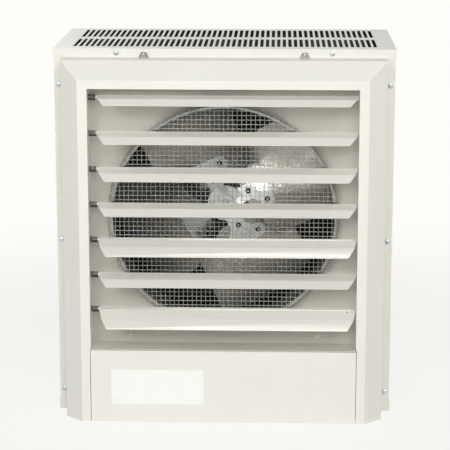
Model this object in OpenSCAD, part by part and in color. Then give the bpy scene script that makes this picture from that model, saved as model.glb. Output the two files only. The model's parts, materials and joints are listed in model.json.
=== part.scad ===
// Electric unit heater: a sheet-steel cabinet with seven sprung louvers, a guarded fan and finned
// elements.
// Millimetres. +Z is up and the louvers face -Y. The origin is on the base, midway in width and depth.

/* [Cabinet] */
// Width over the side panels
cabinet_w = 478; // [470:1:520]
// Height from the base to the top of the cover
cabinet_h = 529; // [526:1:560]
// Depth from the front strips to the back panel's outer face
cabinet_d = 230; // [224:1:260]
// Thickness of the cabinet's steel sheet
sheet = 1.2; // [0.9:0.1:1.4]
// Width of the side panels' front and rear flanges
side_flange_w = 25; // [22:1:30]
// Height of the cover's hanging lips
cover_lip_h = 12; // [10:1:14]
// Height of the bottom pan's upturned lips
pan_lip_h = 15; // [10:1:18]

/* [Air slots] */
// Distance from one slot to the next
slot_pitch = 8; // [7.5:0.5:10]
// Width of a slot
slot_w = 4.8; // [3.5:0.1:5]
// Length of a slot
slot_l = 86; // [70:1:90]
// Gap between two rows of slots
slot_row_gap = 21.5; // [18:0.5:24]
// Plain edge beside the slots
slot_side_margin = 23.5; // [22:0.5:30]
// Plain edge in front of the cover's slots
slot_front_margin = 24; // [20:1:26]
// Length of a back slot
back_slot_l = 76; // [66:1:80]
// Plain edge over the back slots
back_slot_drop = 43; // [38:1:50]
// Depth of the back panel's pressed field
press_d = 3; // [2:0.5:4]

/* [Front frame] */
// Width of the cabinet's front strip beside the frame
strip_w = 13; // [11:0.5:16]
// How far the frame stands in front of the cabinet
frame_d = 56; // [52:1:60]
// Width of the bevel, seen from the front
bevel_w = 25; // [20:1:28]
// Depth of the bevel
bevel_d = 22; // [18:1:26]
// Width of the frame beside the opening
jamb_w = 38.5; // [37:0.5:41]
// Height of the frame over the opening
head_h = 37; // [35:0.5:39]
// Height of the opening's floor above the base
opening_z = 108; // [104:1:110]
// Depth from the front plane to the orifice plate
recess_d = 36; // [34:1:40]

/* [Louvers] */
// Depth of the louvers' pivots behind the front plane
pivot_setback = 18; // [16:0.5:19]
// First pivot below the top of the opening
louver_top_gap = 14; // [13:0.5:18]
// Last pivot above the floor of the opening
louver_bottom_gap = 54; // [50:1:58]
// Rear part of a louver, from the pivot to the crease
louver_rear_w = 25; // [22:0.5:27]
// Front part of a louver, from the crease to the edge
louver_front_w = 17; // [14:0.5:19]
// Bend at the crease, in degrees
louver_bend = 22; // [10:1:30]
// Thickness of a louver's sheet
louver_sheet = 0.8; // [0.6:0.1:1]
// Outer radius of the rolled rear edge
roll_r = 2.6; // [2.4:0.1:3]
// Room for the spring at the left end
spring_room = 11.8; // [9.5:0.1:12]
// Gap at the right end
louver_end_gap = 0.5; // [0.3:0.1:1]
// How far each end is cut back at the front edge
louver_end_cut = 15; // [8:1:18]
// Radius of a louver pin
louver_pin_r = 1.7; // [1.2:0.1:1.7]
// Wire diameter of a louver spring
spring_wire = 0.9; // [0.7:0.1:1]
// Outer diameter of a louver spring
spring_od = 9; // [7.5:0.1:9]

/* [Fan opening] */
// Plate left beside the orifice, across the smaller side of the opening
orifice_rim = 29; // [26:0.5:32]
// How far the orifice's collar stands in front of its plate
collar_d = 11.5; // [9:0.5:12]
// How far the orifice's shroud reaches behind its plate
shroud_d = 48; // [36:1:52]
// Distance from one guard bar to the next
guard_pitch = 19.05; // [18:0.05:22]
// Width of a guard bar
guard_bar_w = 1.4; // [1:0.1:2]
// Thickness of the guard
guard_t = 1.6; // [1.2:0.1:1.8]

/* [Fan] */
// Gap between the fan and the orifice
fan_gap = 5; // [4:0.5:8]
// Depth of the spider's middle behind the front plane
spider_setback = 123; // [121:1:126]
// Pitch of the blades, in degrees
blade_pitch = 20; // [14:1:22]
// Radius of the blades' hollow
blade_curve_r = 260; // [220:10:340]
// Thickness of a blade
blade_t = 1.5; // [1:0.1:2]
// Thickness of a spider arm
arm_t = 2.5; // [2:0.1:3]
// Angle of the first arm, in degrees
first_arm_angle = 28; // [0:1:89]
// Radius of the hub
hub_r = 13; // [12:0.5:16]
// Length of the hub behind the spider
hub_rear_l = 20; // [16:0.5:20]
// Length of the hub in front of the spider
hub_front_l = 5; // [3:0.5:6]
// Radius of the motor shaft
shaft_r = 6.35; // [5:0.05:8]
// Shaft end in front of the hub
shaft_end_l = 3; // [1:0.5:6]

/* [Motor] */
// Radius of the motor
motor_r = 62; // [58:1:64]
// Gap between the fan's hub and the motor
motor_gap = 8; // [6:1:10]
// Length of the front end bell
front_bell_l = 18; // [14:1:20]
// Length of the housing
housing_l = 52; // [46:1:52]
// Length of the rear end bell
rear_bell_l = 16; // [14:1:18]
// Half the height of the motor bracket
bracket_half_h = 30; // [28:1:36]
// Thickness of the bracket
bracket_t = 3; // [2:0.5:4]

/* [Heating elements] */
// Radius of an element's tube
element_r = 4.2; // [3.5:0.1:5]
// Radius of its fins
fin_r = 12.5; // [10:0.5:13]
// Distance from one fin to the next
fin_pitch = 9; // [8:0.5:12]
// Thickness of a fin
fin_t = 0.6; // [0.5:0.1:0.8]
// Distance of the legs from the side panels' outer faces
element_leg_in = 54; // [50:1:57]
// Distance of the top runs below the top of the cover
element_top_drop = 51; // [48:1:56]
// Radius of the elements' bends
element_bend_r = 40; // [34:1:44]
// Depth of the first element behind the cabinet's front
first_element_d = 107; // [104:1:109]
// Depth from one element to the next
element_row_d = 30; // [28:1:31]

/* [Access door] */
// Depth of the door's flanges
door_flange_d = 14; // [12:0.5:14]
// Gap between the door and the frame, each side
door_side_gap = 0.7; // [0.6:0.1:1]
// Gap over the door
door_top_gap = 0.8; // [0.7:0.1:1.2]
// Gap under the door
door_foot_gap = 0.8; // [0.6:0.1:1]
// Height of the hinge axis, and its depth behind the door's face
hinge_in = 7; // [6.8:0.1:7.5]
// Radius of a hinge pin
hinge_pin_r = 2; // [1.6:0.1:2.2]

/* [Hidden] */

$fn = 64;
over = 1;               // how far a cut runs past a face
run_gap = 0.06;         // radial clearance of a turning pin
slip_gap = 0.1;         // clearance of a fixed part in its hole
free_gap = 0.3;         // clearance between parts that move past each other

// Main planes and heights
front_y = -(cabinet_d + frame_d) / 2;
strip_y = front_y + frame_d;
back_y = strip_y + cabinet_d;
half_w = cabinet_w / 2;
frame_w = cabinet_w - 2 * strip_w;
frame_half_w = frame_w / 2;
frame_top_z = cabinet_h - cover_lip_h;
opening_w = frame_w - 2 * jamb_w;
opening_half_w = opening_w / 2;
opening_top_z = frame_top_z - head_h;
opening_h = opening_top_z - opening_z;
plate_y = front_y + recess_d;
plate_back_y = plate_y + sheet;
shelf_z = opening_z - sheet;
inner_x = half_w - sheet;
pan_top = sheet;
orifice_r = min(opening_w, opening_h) / 2 - orifice_rim;
fan_z = opening_z + opening_h / 2;
fan_r = orifice_r - fan_gap;

// Louvers: the rear part's slope below level, one for each louver, from the top
louver_slopes = [2, 6.5, 8.5, 6, 16.5, 6, 23];
louver_count = len(louver_slopes);
louver_pitch = (opening_h - louver_top_gap - louver_bottom_gap) / (louver_count - 1);
pivot_y = front_y + pivot_setback;
louver_left_x = -opening_half_w + spring_room;
louver_right_x = opening_half_w - louver_end_gap;
roll_join_share = 0.6;  // where the flat part leaves the roll, as a share of the roll's radius
pin_grip = 12;
pin_stub = 2.5;
pin_shoulder_r = spring_od / 2;
pin_shoulder_t = 1;
function louver_z(k) = opening_top_z - louver_top_gap - (k - 1) * louver_pitch;

// Springs: a helix about each pin, with straight ends
spring_turns = 4;
turn_rings = 8;
tube_sides = 6;
spring_r = (spring_od - spring_wire) / 2;
spring_l = spring_room - pin_shoulder_t - free_gap;
helix_l = spring_l - 2 * spring_wire;
helix_steps = spring_turns * turn_rings;

// Door and hinge
door_half_w = opening_half_w + sheet - door_side_gap;
door_edge_x = door_half_w + door_side_gap;
door_top_z = shelf_z - door_top_gap;
hinge_y = front_y + hinge_in;
hinge_z = hinge_in;
ear_gap = 0.4;
ear_outer_x = door_half_w - sheet - ear_gap;
ear_inner_x = ear_outer_x - sheet;
ear_nose_r = 5;
ear_low = 3;
door_foot_flange_in = 4;
pin_head_t = 1.5;
pin_head_r = 3.6;
tongue_clear = 3.5;
tongue_y = hinge_y + hinge_in + tongue_clear;
frame_return_d = 20;
catch_in = 37.5;
catch_x = opening_half_w - catch_in;
catch_w = 14;
catch_drop = 15;
catch_leg = 16;
label_w = 131;
label_h = 51.5;
label_t = 0.3;
label_in = 28.7;
label_left_x = -opening_half_w + label_in;
label_z = 26.4;

// Frame details
header_h = 38;
header_leg = 16;
frame_mark_r = 2;
frame_mark_in = 9;
frame_mark_y = strip_y - frame_mark_in;
plate_margin = 12;
shelf_tab_h = 20;
shelf_tab_in = 27.5;
shelf_tab_half_w = opening_half_w - shelf_tab_in;

// Shroud and guard
shroud_flange_w = 6;
ring_wall = 1.2;
ring_leg = 6;
guard_r = orifice_r - slip_gap - ring_wall - slip_gap;
guard_rim = 2;
guard_cells = floor(guard_r / guard_pitch);
collar_y = plate_y - collar_d;

// Fan: a blade's outline as shares of the fan's radius, radial then tangential
spider_y = front_y + spider_setback;
arm_count = 4;
blade_shares = [[0.2, -0.15], [0.245, -0.23], [0.29, -0.42], [0.33, -0.45], [0.38, -0.455], [0.5, -0.46],
    [0.84, -0.48], [1.2, -0.44], [1.2, 0.43], [0.87, 0.47], [0.62, 0.47], [0.56, 0.46], [0.51, 0.43],
    [0.32, 0.26], [0.2, 0.16]];
arm_shares = [[0.1, -0.072], [0.25, -0.072], [0.36, -0.17], [0.45, -0.12], [0.45, 0.12], [0.36, 0.17],
    [0.25, 0.072], [0.1, 0.072]];
arm_pad_r = 10.5;
rivet_in_share = 0.248;
rivet_out_share = 0.408;
rivet_in_r = rivet_in_share * fan_r;
rivet_out_r = rivet_out_share * fan_r;
rivet_spread = 21;
rivet_r = 2.2;
rivet_head_r = 4.2;
rivet_head_h = 1.6;
rivet_tail_r = 3.4;
rivet_tail_h = 0.8;
rivet_seat_gap = 0.08;  // room under a rivet's head for the hollow of the arm
skin_gap = 0.08;        // between a blade and its arm
spider_disc_r = 26;
blade_root_r = spider_disc_r + free_gap;
hub_flange_r = 21;
hub_flange_t = 3;
set_screw_r = 3;
set_screw_l = 8;
rivet_places = [[rivet_in_r, 0], [rivet_out_r * cos(rivet_spread), rivet_out_r * sin(rivet_spread)],
    [rivet_out_r * cos(rivet_spread), -rivet_out_r * sin(rivet_spread)]];

// Motor
motor_y = spider_y + hub_rear_l + motor_gap;
housing_y = motor_y + front_bell_l;
rear_bell_y = housing_y + housing_l;
bracket_y = rear_bell_y + rear_bell_l;
bell_lip_r = 14;
bell_shoulder = 6;
motor_bolt_r = 2.5;
motor_bolt_head_r = 4.6;
motor_bolt_head_h = 3;
motor_bolt_circle = 50;
motor_bolt_angles = [25, 155, 205, 335];
shaft_tail = 16;
bracket_flange_d = 20;
bracket_bolt_dz = 20;
bracket_bolt_r = 2.5;
bracket_head_r = 5;
bracket_head_h = 3.5;
bracket_bolt_l = 8;
conduit_r = 6;
conduit_low = 20;
conduit_boss_r = 9;
conduit_boss_l = 10;
grommet_lip = 3;

// Elements
element_count = 3;
element_leg_x = half_w - element_leg_in;
element_top_z = cabinet_h - element_top_drop;
leg_fin_low = 17;
leg_fin_top = 8;
support_drop = 100;
support_z = opening_top_z - support_drop;
support_t = 1.5;
support_in = 18;
support_margin = 18;
nut_r = 9.5;
nut_h = 8;
terminal_drop = 16;
stud_r = 2;
stud_drop = 10;
function element_y(i) = strip_y + first_element_d + i * element_row_d;

// Over-heat cut-out
cutout_in = 19.5;
cutout_drop = 28;
cutout_x = -opening_half_w + cutout_in;
cutout_z = opening_top_z - cutout_drop;
cutout_r = 11;
cutout_l = 13;
cutout_ear_half = 19;
cutout_ear_h = 12;

// Screws
screw_r = 1.9;
screw_head_r = 3.7;
screw_head_h = 1.9;
screw_l = 8;
strip_screw_x = (frame_half_w + half_w) / 2;
strip_screw_low = 30;
strip_screw_drop = 51;
strip_screw_high = cabinet_h - strip_screw_drop;
strip_screw_zs = [strip_screw_low, (strip_screw_low + strip_screw_high) / 2, strip_screw_high];
lip_screw_in = 88;
lip_screw_x = half_w - lip_screw_in;
clip_in = 126.5;
clip_x = half_w - clip_in;
clip_w = 14;
clip_t = 1.1;
clip_up = 7;
clip_out = 8;
plate_screw_in = 53.5;
plate_screw_x = opening_half_w - plate_screw_in;
plate_screw_up = 9.5;
back_screw_low = 60;
back_screw_drop = 29;
back_screw_count = 4;
back_screw_pitch = (cabinet_h - back_screw_drop - back_screw_low) / (back_screw_count - 1);
back_screw_zs = [for (i = [0 : back_screw_count - 1]) back_screw_low + i * back_screw_pitch];
back_screw_in = 12.5;

// Wall inserts and the supply's hole
insert_in = 35.8;
insert_x = half_w - insert_in;
insert_z = 150;
insert_drop = 59;
insert_rise = cabinet_h - insert_drop - insert_z;
insert_bore_r = 3.1;
insert_r = 4.6;
insert_flange_r = 7;
insert_l = 14;
supply_hole_r = 11.1;
supply_in = 89;
supply_x = half_w - supply_in;
supply_z = 52;

// Control parts: widths, depths and heights, and a row of places that share out the room on the pan
contactor_size = [58, 62, 50];
contactor_poles = 3;
block_size = [92, 34, 18];
block_poles = 3;
block_rib_t = 3;
block_rib_h = 8;
transformer_size = [56, 36, 46];
coil_out = 9;
relay_size = [36, 36, 42];
relay_pins_h = 5;
lug_size = [14, 18, 8];
lug_screw_r = 3;
foot_t = 2;
foot_out = 8;
row_room = 2 * inner_x - contactor_size[0] - block_size[0] - transformer_size[0] - relay_size[0]
    - lug_size[0];
row_start_share = 0.4;
row_gap_share = 0.0956;
row_gap = row_gap_share * row_room;
contactor_in = 57;
block_in = 57;
transformer_in = 65;
relay_in = 63;
lug_in = 53;
contactor_at = [row_start_share * row_room - inner_x, strip_y + contactor_in];
block_at = [contactor_at[0] + contactor_size[0] + row_gap, strip_y + block_in];
transformer_at = [block_at[0] + block_size[0] + row_gap, strip_y + transformer_in];
relay_at = [transformer_at[0] + transformer_size[0] + row_gap, strip_y + relay_in];
lug_at = [relay_at[0] + relay_size[0] + row_gap, strip_y + lug_in];

// A box from its low corner to its high corner
module span(low, high) {
    translate(low) cube(high - low);
}

// A round bar or hole along Y, from y1 to y2
module round_y(x, z, r, y1, y2) {
    translate([x, y1, z]) rotate([-90, 0, 0]) cylinder(r = r, h = y2 - y1);
}

// A round bar or hole along X, from x1 to x2
module round_x(y, z, r, x1, x2) {
    translate([x1, y, z]) rotate([0, 90, 0]) cylinder(r = r, h = x2 - x1);
}

// A profile of radius and height turned about the fan's axis, its height along +Y from y
module turned_y(y, points) {
    translate([0, y, fan_z]) rotate([-90, 0, 0]) rotate_extrude() polygon(points);
}

// A screw along +Y with a low domed head whose underside is at y
module screw_y(x, y, z, l) {
    translate([x, y, z]) rotate([-90, 0, 0]) {
        cylinder(r = screw_r, h = l);
        rotate_extrude() polygon([[0, 0], [screw_head_r, 0], [screw_head_r, -screw_head_h / 3],
            [screw_head_r * 0.8, -screw_head_h * 0.8], [screw_head_r * 0.4, -screw_head_h],
            [0, -screw_head_h]]);
    }
}

// One side panel, drawn for the right side
module side_channel() {
    difference() {
        span([half_w - side_flange_w, strip_y, pan_top], [half_w, back_y - sheet, cabinet_h - sheet]);
        span([half_w - side_flange_w - over, strip_y + sheet, -over],
            [inner_x, back_y - 2 * sheet, cabinet_h + over]);
        for (z = strip_screw_zs)
            round_y(strip_screw_x, z, screw_r + slip_gap, strip_y - over, strip_y + sheet + over);
        for (z = back_screw_zs)
            round_y(half_w - back_screw_in, z, screw_r + slip_gap, back_y - 3 * sheet, back_y + over);
        for (s = [-1, 1])
            round_x(bracket_y + bracket_t + bracket_flange_d / 2, fan_z + s * bracket_bolt_dz,
                bracket_bolt_r + slip_gap, inner_x - over, half_w + over);
    }
}

module side_panel_left() {
    color("ivory") mirror([1, 0, 0]) side_channel();
}

module side_panel_right() {
    color("ivory") side_channel();
}

// The floor, its upturned lips, and a tongue that carries the door's hinge ears
module bottom_pan() {
    color("ivory") {
        difference() {
            union() {
                difference() {
                    span([-half_w - sheet, strip_y, 0], [half_w + sheet, back_y + sheet, pan_lip_h]);
                    span([-half_w, strip_y - over, pan_top], [half_w, back_y, pan_lip_h + over]);
                }
                span([-ear_outer_x, tongue_y, 0], [ear_outer_x, strip_y + over, pan_top]);
                for (s = [-1, 1]) mirror([s < 0 ? 1 : 0, 0, 0]) hinge_ear();
            }
            for (s = [-1, 1])
                round_x(hinge_y, hinge_z, hinge_pin_r + run_gap,
                    s * (ear_inner_x + ear_outer_x) / 2 - over, s * (ear_inner_x + ear_outer_x) / 2 + over);
        }
    }
}

module hinge_ear() {
    round_x(hinge_y, hinge_z, ear_nose_r, ear_inner_x, ear_outer_x);
    span([ear_inner_x, hinge_y, hinge_z - ear_low],
        [ear_outer_x, tongue_y + door_flange_d, hinge_z + ear_nose_r]);
    span([ear_inner_x, tongue_y, 0], [ear_outer_x, tongue_y + door_flange_d, hinge_z]);
}

// The slotted cover with its four hanging lips
module top_cover() {
    low_y = strip_y - sheet;
    high_y = back_y + sheet;
    columns = floor((cabinet_w + 2 * sheet - 2 * slot_side_margin) / slot_pitch);
    color("ivory") difference() {
        span([-half_w - sheet, low_y, frame_top_z], [half_w + sheet, high_y, cabinet_h]);
        span([-half_w, strip_y, frame_top_z - over], [half_w, back_y, cabinet_h - sheet]);
        for (row = [0, 1]) slot_row(columns, low_y + slot_front_margin + row * (slot_l + slot_row_gap));
        for (s = [-1, 1]) round_y(s * lip_screw_x, (frame_top_z + cabinet_h) / 2, screw_r + slip_gap,
            low_y - over, strip_y + over);
    }
}

module slot_row(columns, y) {
    for (i = [0 : columns - 1]) {
        x = (i - (columns - 1) / 2) * slot_pitch;
        span([x - slot_w / 2, y, cabinet_h - sheet - over], [x + slot_w / 2, y + slot_l, cabinet_h + over]);
    }
}

// The back panel: a row of air slots over a field that is pressed inwards
module back_panel() {
    clear_w = 2 * (insert_x - insert_flange_r - slot_pitch);
    columns = floor(clear_w / slot_pitch);
    slot_top_z = cabinet_h - back_slot_drop;
    field_half_w = clear_w / 2 - slot_row_gap;
    field_top_z = slot_top_z - back_slot_l - slot_row_gap;
    color("ivory") difference() {
        union() {
            span([-half_w, back_y - sheet, pan_top], [half_w, back_y, cabinet_h - sheet]);
            span([-field_half_w, back_y - sheet - press_d, insert_z], [field_half_w, back_y, field_top_z]);
        }
        span([-field_half_w + sheet, back_y - press_d, insert_z + sheet],
            [field_half_w - sheet, back_y + over, field_top_z - sheet]);
        for (i = [0 : columns - 1]) {
            x = (i - (columns - 1) / 2) * slot_pitch;
            span([x - slot_w / 2, back_y - sheet - over, slot_top_z - back_slot_l],
                [x + slot_w / 2, back_y + over, slot_top_z]);
        }
        for (s = [-1, 1], z = back_screw_zs)
            round_y(s * (half_w - back_screw_in), z, screw_r + slip_gap,
                back_y - sheet - over, back_y + over);
        for (s = [-1, 1], z = [insert_z, insert_z + insert_rise])
            round_y(s * insert_x, z, insert_r + slip_gap, back_y - sheet - over, back_y + over);
        round_y(supply_x, supply_z, supply_hole_r, back_y - sheet - over, back_y + over);
    }
}

// The rail over the frame, between the side panels' front flanges
module front_header() {
    rail_half_w = half_w - side_flange_w;
    rail_top_z = cabinet_h - sheet;
    color("ivory") difference() {
        union() {
            span([-rail_half_w, strip_y, rail_top_z - header_h],
                [rail_half_w, strip_y + sheet, rail_top_z]);
            span([-rail_half_w, strip_y, rail_top_z - sheet],
                [rail_half_w, strip_y + header_leg, rail_top_z]);
        }
        for (s = [-1, 1]) round_y(s * lip_screw_x, (frame_top_z + cabinet_h) / 2, screw_r + slip_gap,
            strip_y - over, strip_y + sheet + over);
    }
}

// The bevelled hood, as a full block that stands t inside its outer skin
module hood(t) {
    flat_turn = atan2(bevel_d, bevel_w);
    flat_in = t * tan(flat_turn / 2);
    side_in = t * tan((90 - flat_turn) / 2);
    x_out = frame_half_w - t;
    x_in = frame_half_w - bevel_w - flat_in;
    z_out = frame_top_z - t;
    z_in = frame_top_z - bevel_w - flat_in;
    y_front = front_y + t;
    y_side = front_y + bevel_d + side_in;
    y_rear = t > 0 ? strip_y + over : strip_y;
    z_low = t > 0 ? -over : 0;
    intersection() {
        translate([0, 0, z_low]) linear_extrude(frame_top_z + over)
            polygon([[-x_out, y_rear], [-x_out, y_side], [-x_in, y_front], [x_in, y_front],
                [x_out, y_side], [x_out, y_rear]]);
        translate([-frame_half_w, 0, 0]) rotate([90, 0, 90]) linear_extrude(frame_w)
            polygon([[y_rear, z_low], [y_front, z_low], [y_front, z_in], [y_side, z_out], [y_rear, z_out]]);
    }
}

// The frame, with the recess walls behind its opening and the returns beside the door
module front_frame() {
    color("ivory") difference() {
        union() {
            difference() {
                hood(0);
                hood(sheet);
                span([-opening_half_w, front_y - over, opening_z - over],
                    [opening_half_w, front_y + sheet + over, opening_top_z]);
                span([-door_edge_x, front_y - over, -over],
                    [door_edge_x, front_y + sheet + over, opening_z]);
            }
            difference() {
                span([-opening_half_w - sheet, front_y, opening_z],
                    [opening_half_w + sheet, plate_y, opening_top_z + sheet]);
                span([-opening_half_w, front_y - over, opening_z - over],
                    [opening_half_w, plate_y + over, opening_top_z]);
            }
            for (s = [-1, 1]) mirror([s < 0 ? 1 : 0, 0, 0])
                span([door_edge_x, front_y, 0],
                    [door_edge_x + sheet, front_y + frame_return_d, opening_z + sheet]);
        }
        for (k = [1 : louver_count], s = [-1, 1])
            round_x(pivot_y, louver_z(k), louver_pin_r + run_gap,
                s * (opening_half_w + sheet / 2) - over, s * (opening_half_w + sheet / 2) + over);
        for (s = [-1, 1]) translate([s * lip_screw_x, frame_mark_y, frame_top_z - sheet - over])
            cylinder(r = frame_mark_r, h = sheet + 2 * over);
    }
}

// The shelf over the control compartment, whose front strip is the recess's floor
module control_shelf() {
    color("ivory") difference() {
        union() {
            span([-opening_half_w, front_y, shelf_z], [opening_half_w, strip_y + over, opening_z]);
            span([-inner_x, strip_y + 2 * sheet, shelf_z], [inner_x, back_y - 2 * sheet, opening_z]);
            span([-opening_half_w, strip_y, shelf_z], [opening_half_w, strip_y + 3 * sheet, opening_z]);
            span([-shelf_tab_half_w, plate_back_y, shelf_z],
                [shelf_tab_half_w, plate_back_y + sheet, opening_z + shelf_tab_h]);
        }
        for (i = [0 : element_count - 1], s = [-1, 1])
            translate([s * element_leg_x, element_y(i), shelf_z - over])
                cylinder(r = element_r + free_gap, h = sheet + 2 * over);
        translate([0, housing_y + housing_l / 2, shelf_z - over])
            cylinder(r = conduit_r + slip_gap + ring_wall + slip_gap, h = sheet + 2 * over);
        for (s = [-1, 1]) round_y(s * plate_screw_x, opening_z + plate_screw_up, screw_r + slip_gap,
            plate_back_y - over, plate_back_y + sheet + over);
    }
}

// The door: a tray whose foot flange is cut short beside the hinge ears
module access_door() {
    inner_half = door_half_w - sheet;
    foot_half = ear_inner_x - door_foot_flange_in;
    color("ivory") difference() {
        span([-door_half_w, front_y, door_foot_gap], [door_half_w, front_y + door_flange_d, door_top_z]);
        span([-inner_half, front_y + sheet, door_foot_gap + sheet],
            [inner_half, front_y + door_flange_d + over, door_top_z - sheet]);
        for (s = [-1, 1]) {
            mirror([s < 0 ? 1 : 0, 0, 0])
                span([foot_half, front_y + sheet, -over],
                    [inner_half, front_y + door_flange_d + over, door_foot_gap + sheet + over]);
            round_x(hinge_y, hinge_z, hinge_pin_r + slip_gap,
                s * (door_half_w - sheet / 2) - over, s * (door_half_w - sheet / 2) + over);
        }
    }
}

// A blank plate on the door
module door_label() {
    color("white") span([label_left_x, front_y - label_t, label_z],
        [label_left_x + label_w, front_y, label_z + label_h]);
}

module door_pins() {
    color("silver") for (s = [-1, 1]) mirror([s < 0 ? 1 : 0, 0, 0]) {
        head_x = ear_inner_x - free_gap;
        round_x(hinge_y, hinge_z, hinge_pin_r, head_x - pin_head_t / 2, door_half_w);
        round_x(hinge_y, hinge_z, pin_head_r, head_x - pin_head_t, head_x);
    }
}

// Two bent spring plates under the shelf, just behind the shut door's top flange
module door_catches() {
    catch_y = front_y + door_flange_d + free_gap;
    color("silver") for (s = [-1, 1]) {
        x = s * catch_x;
        span([x - catch_w / 2, catch_y, shelf_z - catch_drop], [x + catch_w / 2, catch_y + sheet, shelf_z]);
        span([x - catch_w / 2, catch_y, shelf_z - sheet], [x + catch_w / 2, catch_y + catch_leg, shelf_z]);
    }
}

// The plate at the back of the recess, with a round hole for the shroud
module orifice_plate() {
    color("ivory") difference() {
        span([-opening_half_w - plate_margin, plate_y, opening_z],
            [opening_half_w + plate_margin, plate_back_y, opening_top_z + plate_margin]);
        round_y(0, fan_z, orifice_r + sheet + slip_gap, plate_y - over, plate_back_y + over);
        for (s = [-1, 1]) round_y(s * plate_screw_x, opening_z + plate_screw_up, screw_r + slip_gap,
            plate_y - over, plate_back_y + over);
    }
}

// The ring round the fan, with a flange on the back of the plate
module fan_shroud() {
    r_out = orifice_r + sheet;
    flange_y = plate_back_y - collar_y;
    rear_y = flange_y + shroud_d;
    color("ivory") turned_y(collar_y, [[orifice_r, 0], [r_out, 0], [r_out, flange_y],
        [r_out + shroud_flange_w, flange_y], [r_out + shroud_flange_w, flange_y + sheet],
        [r_out, flange_y + sheet], [r_out, rear_y], [orifice_r, rear_y]]);
}

// The clamp ring: a channel over the collar's edge
module guard_ring() {
    r1 = orifice_r - slip_gap;
    r2 = orifice_r + sheet + slip_gap;
    color("gainsboro") turned_y(collar_y, [[r1 - ring_wall, -ring_wall], [r2 + ring_wall, -ring_wall],
        [r2 + ring_wall, ring_leg], [r2, ring_leg], [r2, 0], [r1, 0], [r1, ring_leg / 2],
        [r1 - ring_wall, ring_leg / 2]]);
}

// The guard's bars, cut round and tied by a rim
module guard_mesh() {
    low_y = collar_y - ring_wall / 2;
    color("dimgray") union() {
        intersection() {
            union() for (i = [-guard_cells : guard_cells]) {
                at = i * guard_pitch;
                span([at - guard_bar_w / 2, low_y, fan_z - guard_r],
                    [at + guard_bar_w / 2, low_y + guard_t, fan_z + guard_r]);
                span([-guard_r, low_y, fan_z + at - guard_bar_w / 2],
                    [guard_r, low_y + guard_t, fan_z + at + guard_bar_w / 2]);
            }
            round_y(0, fan_z, guard_r - guard_rim / 2, low_y - over, low_y + guard_t + over);
        }
        turned_y(low_y, [[guard_r - guard_rim, 0], [guard_r, 0], [guard_r, guard_t],
            [guard_r - guard_rim, guard_t]]);
    }
}

// One louver: a rolled rear edge about its pins, a flat rear part and a front part bent down
module louver(k) {
    length = louver_right_x - louver_left_x;
    f_join = roll_r * roll_join_share;
    f_tip = louver_rear_w + louver_front_w * cos(louver_bend);
    h_tip = roll_r - louver_front_w * sin(louver_bend);
    f_under = f_tip - louver_sheet * sin(louver_bend);
    h_under = h_tip - louver_sheet * cos(louver_bend);
    f_crease = louver_rear_w - louver_sheet * tan(louver_bend / 2);
    color("ivory") translate([0, pivot_y, louver_z(k)]) rotate([louver_slopes[k - 1], 0, 0])
        intersection() {
            translate([louver_right_x, 0, 0]) rotate([90, 0, -90]) difference() {
                union() {
                    cylinder(r = roll_r, h = length);
                    linear_extrude(length) polygon([[f_join, roll_r], [louver_rear_w, roll_r],
                        [f_tip, h_tip], [f_under, h_under], [f_crease, roll_r - louver_sheet],
                        [f_join, roll_r - louver_sheet]]);
                }
                translate([0, 0, -over]) cylinder(r = roll_r - louver_sheet, h = length + 2 * over);
            }
            translate([0, 0, -louver_front_w]) linear_extrude(louver_front_w + 2 * roll_r)
                polygon([[louver_left_x, roll_r], [louver_left_x, -roll_r],
                    [louver_left_x + louver_end_cut, -f_tip], [louver_right_x - louver_end_cut, -f_tip],
                    [louver_right_x, -roll_r], [louver_right_x, roll_r]]);
        }
}

// A louver's two pins, the left one with a shoulder for the spring
module louver_pins(k) {
    z = louver_z(k);
    stub_x = opening_half_w + sheet + pin_stub;
    color("silver") {
        union() {
            round_x(pivot_y, z, louver_pin_r, -stub_x, louver_left_x + pin_grip);
            round_x(pivot_y, z, pin_shoulder_r, louver_left_x - pin_shoulder_t, louver_left_x);
        }
        round_x(pivot_y, z, louver_pin_r, louver_right_x - pin_grip, stub_x);
    }
}

// A spring's centre line, from the wall to the pin's shoulder
function spring_point(i) =
    let (turn = 360 * i / turn_rings, x = spring_wire + helix_l * i / helix_steps)
    [x, spring_r * cos(turn), spring_r * sin(turn)];
spring_path = concat([[0, spring_r, 0]], [for (i = [0 : helix_steps]) spring_point(i)],
    [[spring_l, spring_r * cos(360 * spring_turns), spring_r * sin(360 * spring_turns)]]);
function unit(v) = v / norm(v);
function ring_at(path, i) =
    let (last = len(path) - 1, into = unit(path[max(i, 1)] - path[max(i, 1) - 1]),
        out = unit(path[min(i + 1, last)] - path[min(i, last - 1)]), along = unit(into + out),
        spoke = unit([0, path[i][1], path[i][2]]), side = unit(cross(along, spoke)),
        corner = i == 1 || i == last - 1 ? 1 / (into * along) : 1)
    [for (j = [0 : tube_sides - 1]) let (a = 360 * j / tube_sides)
        path[i] + spring_wire / 2 * (cos(a) * spoke + sin(a) * corner * side)];
spring_points = [for (i = [0 : len(spring_path) - 1]) each ring_at(spring_path, i)];
spring_faces = concat(
    [for (i = [0 : len(spring_path) - 2], j = [0 : tube_sides - 1])
        let (a = i * tube_sides + j, b = i * tube_sides + (j + 1) % tube_sides)
        each [[a, b, a + tube_sides], [b, b + tube_sides, a + tube_sides]]],
    [for (j = [1 : tube_sides - 2]) [0, j + 1, j]],
    [for (j = [1 : tube_sides - 2]) let (base = (len(spring_path) - 1) * tube_sides)
        [base, base + j, base + j + 1]]);
spring_self_gap = min([for (i = [0 : len(spring_path) - 1], j = [i + turn_rings - 2 : len(spring_path) - 1])
    if (j > i + 2) norm(spring_path[i] - spring_path[j])]) - spring_wire;
echo(spring_self_gap = spring_self_gap);

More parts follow.
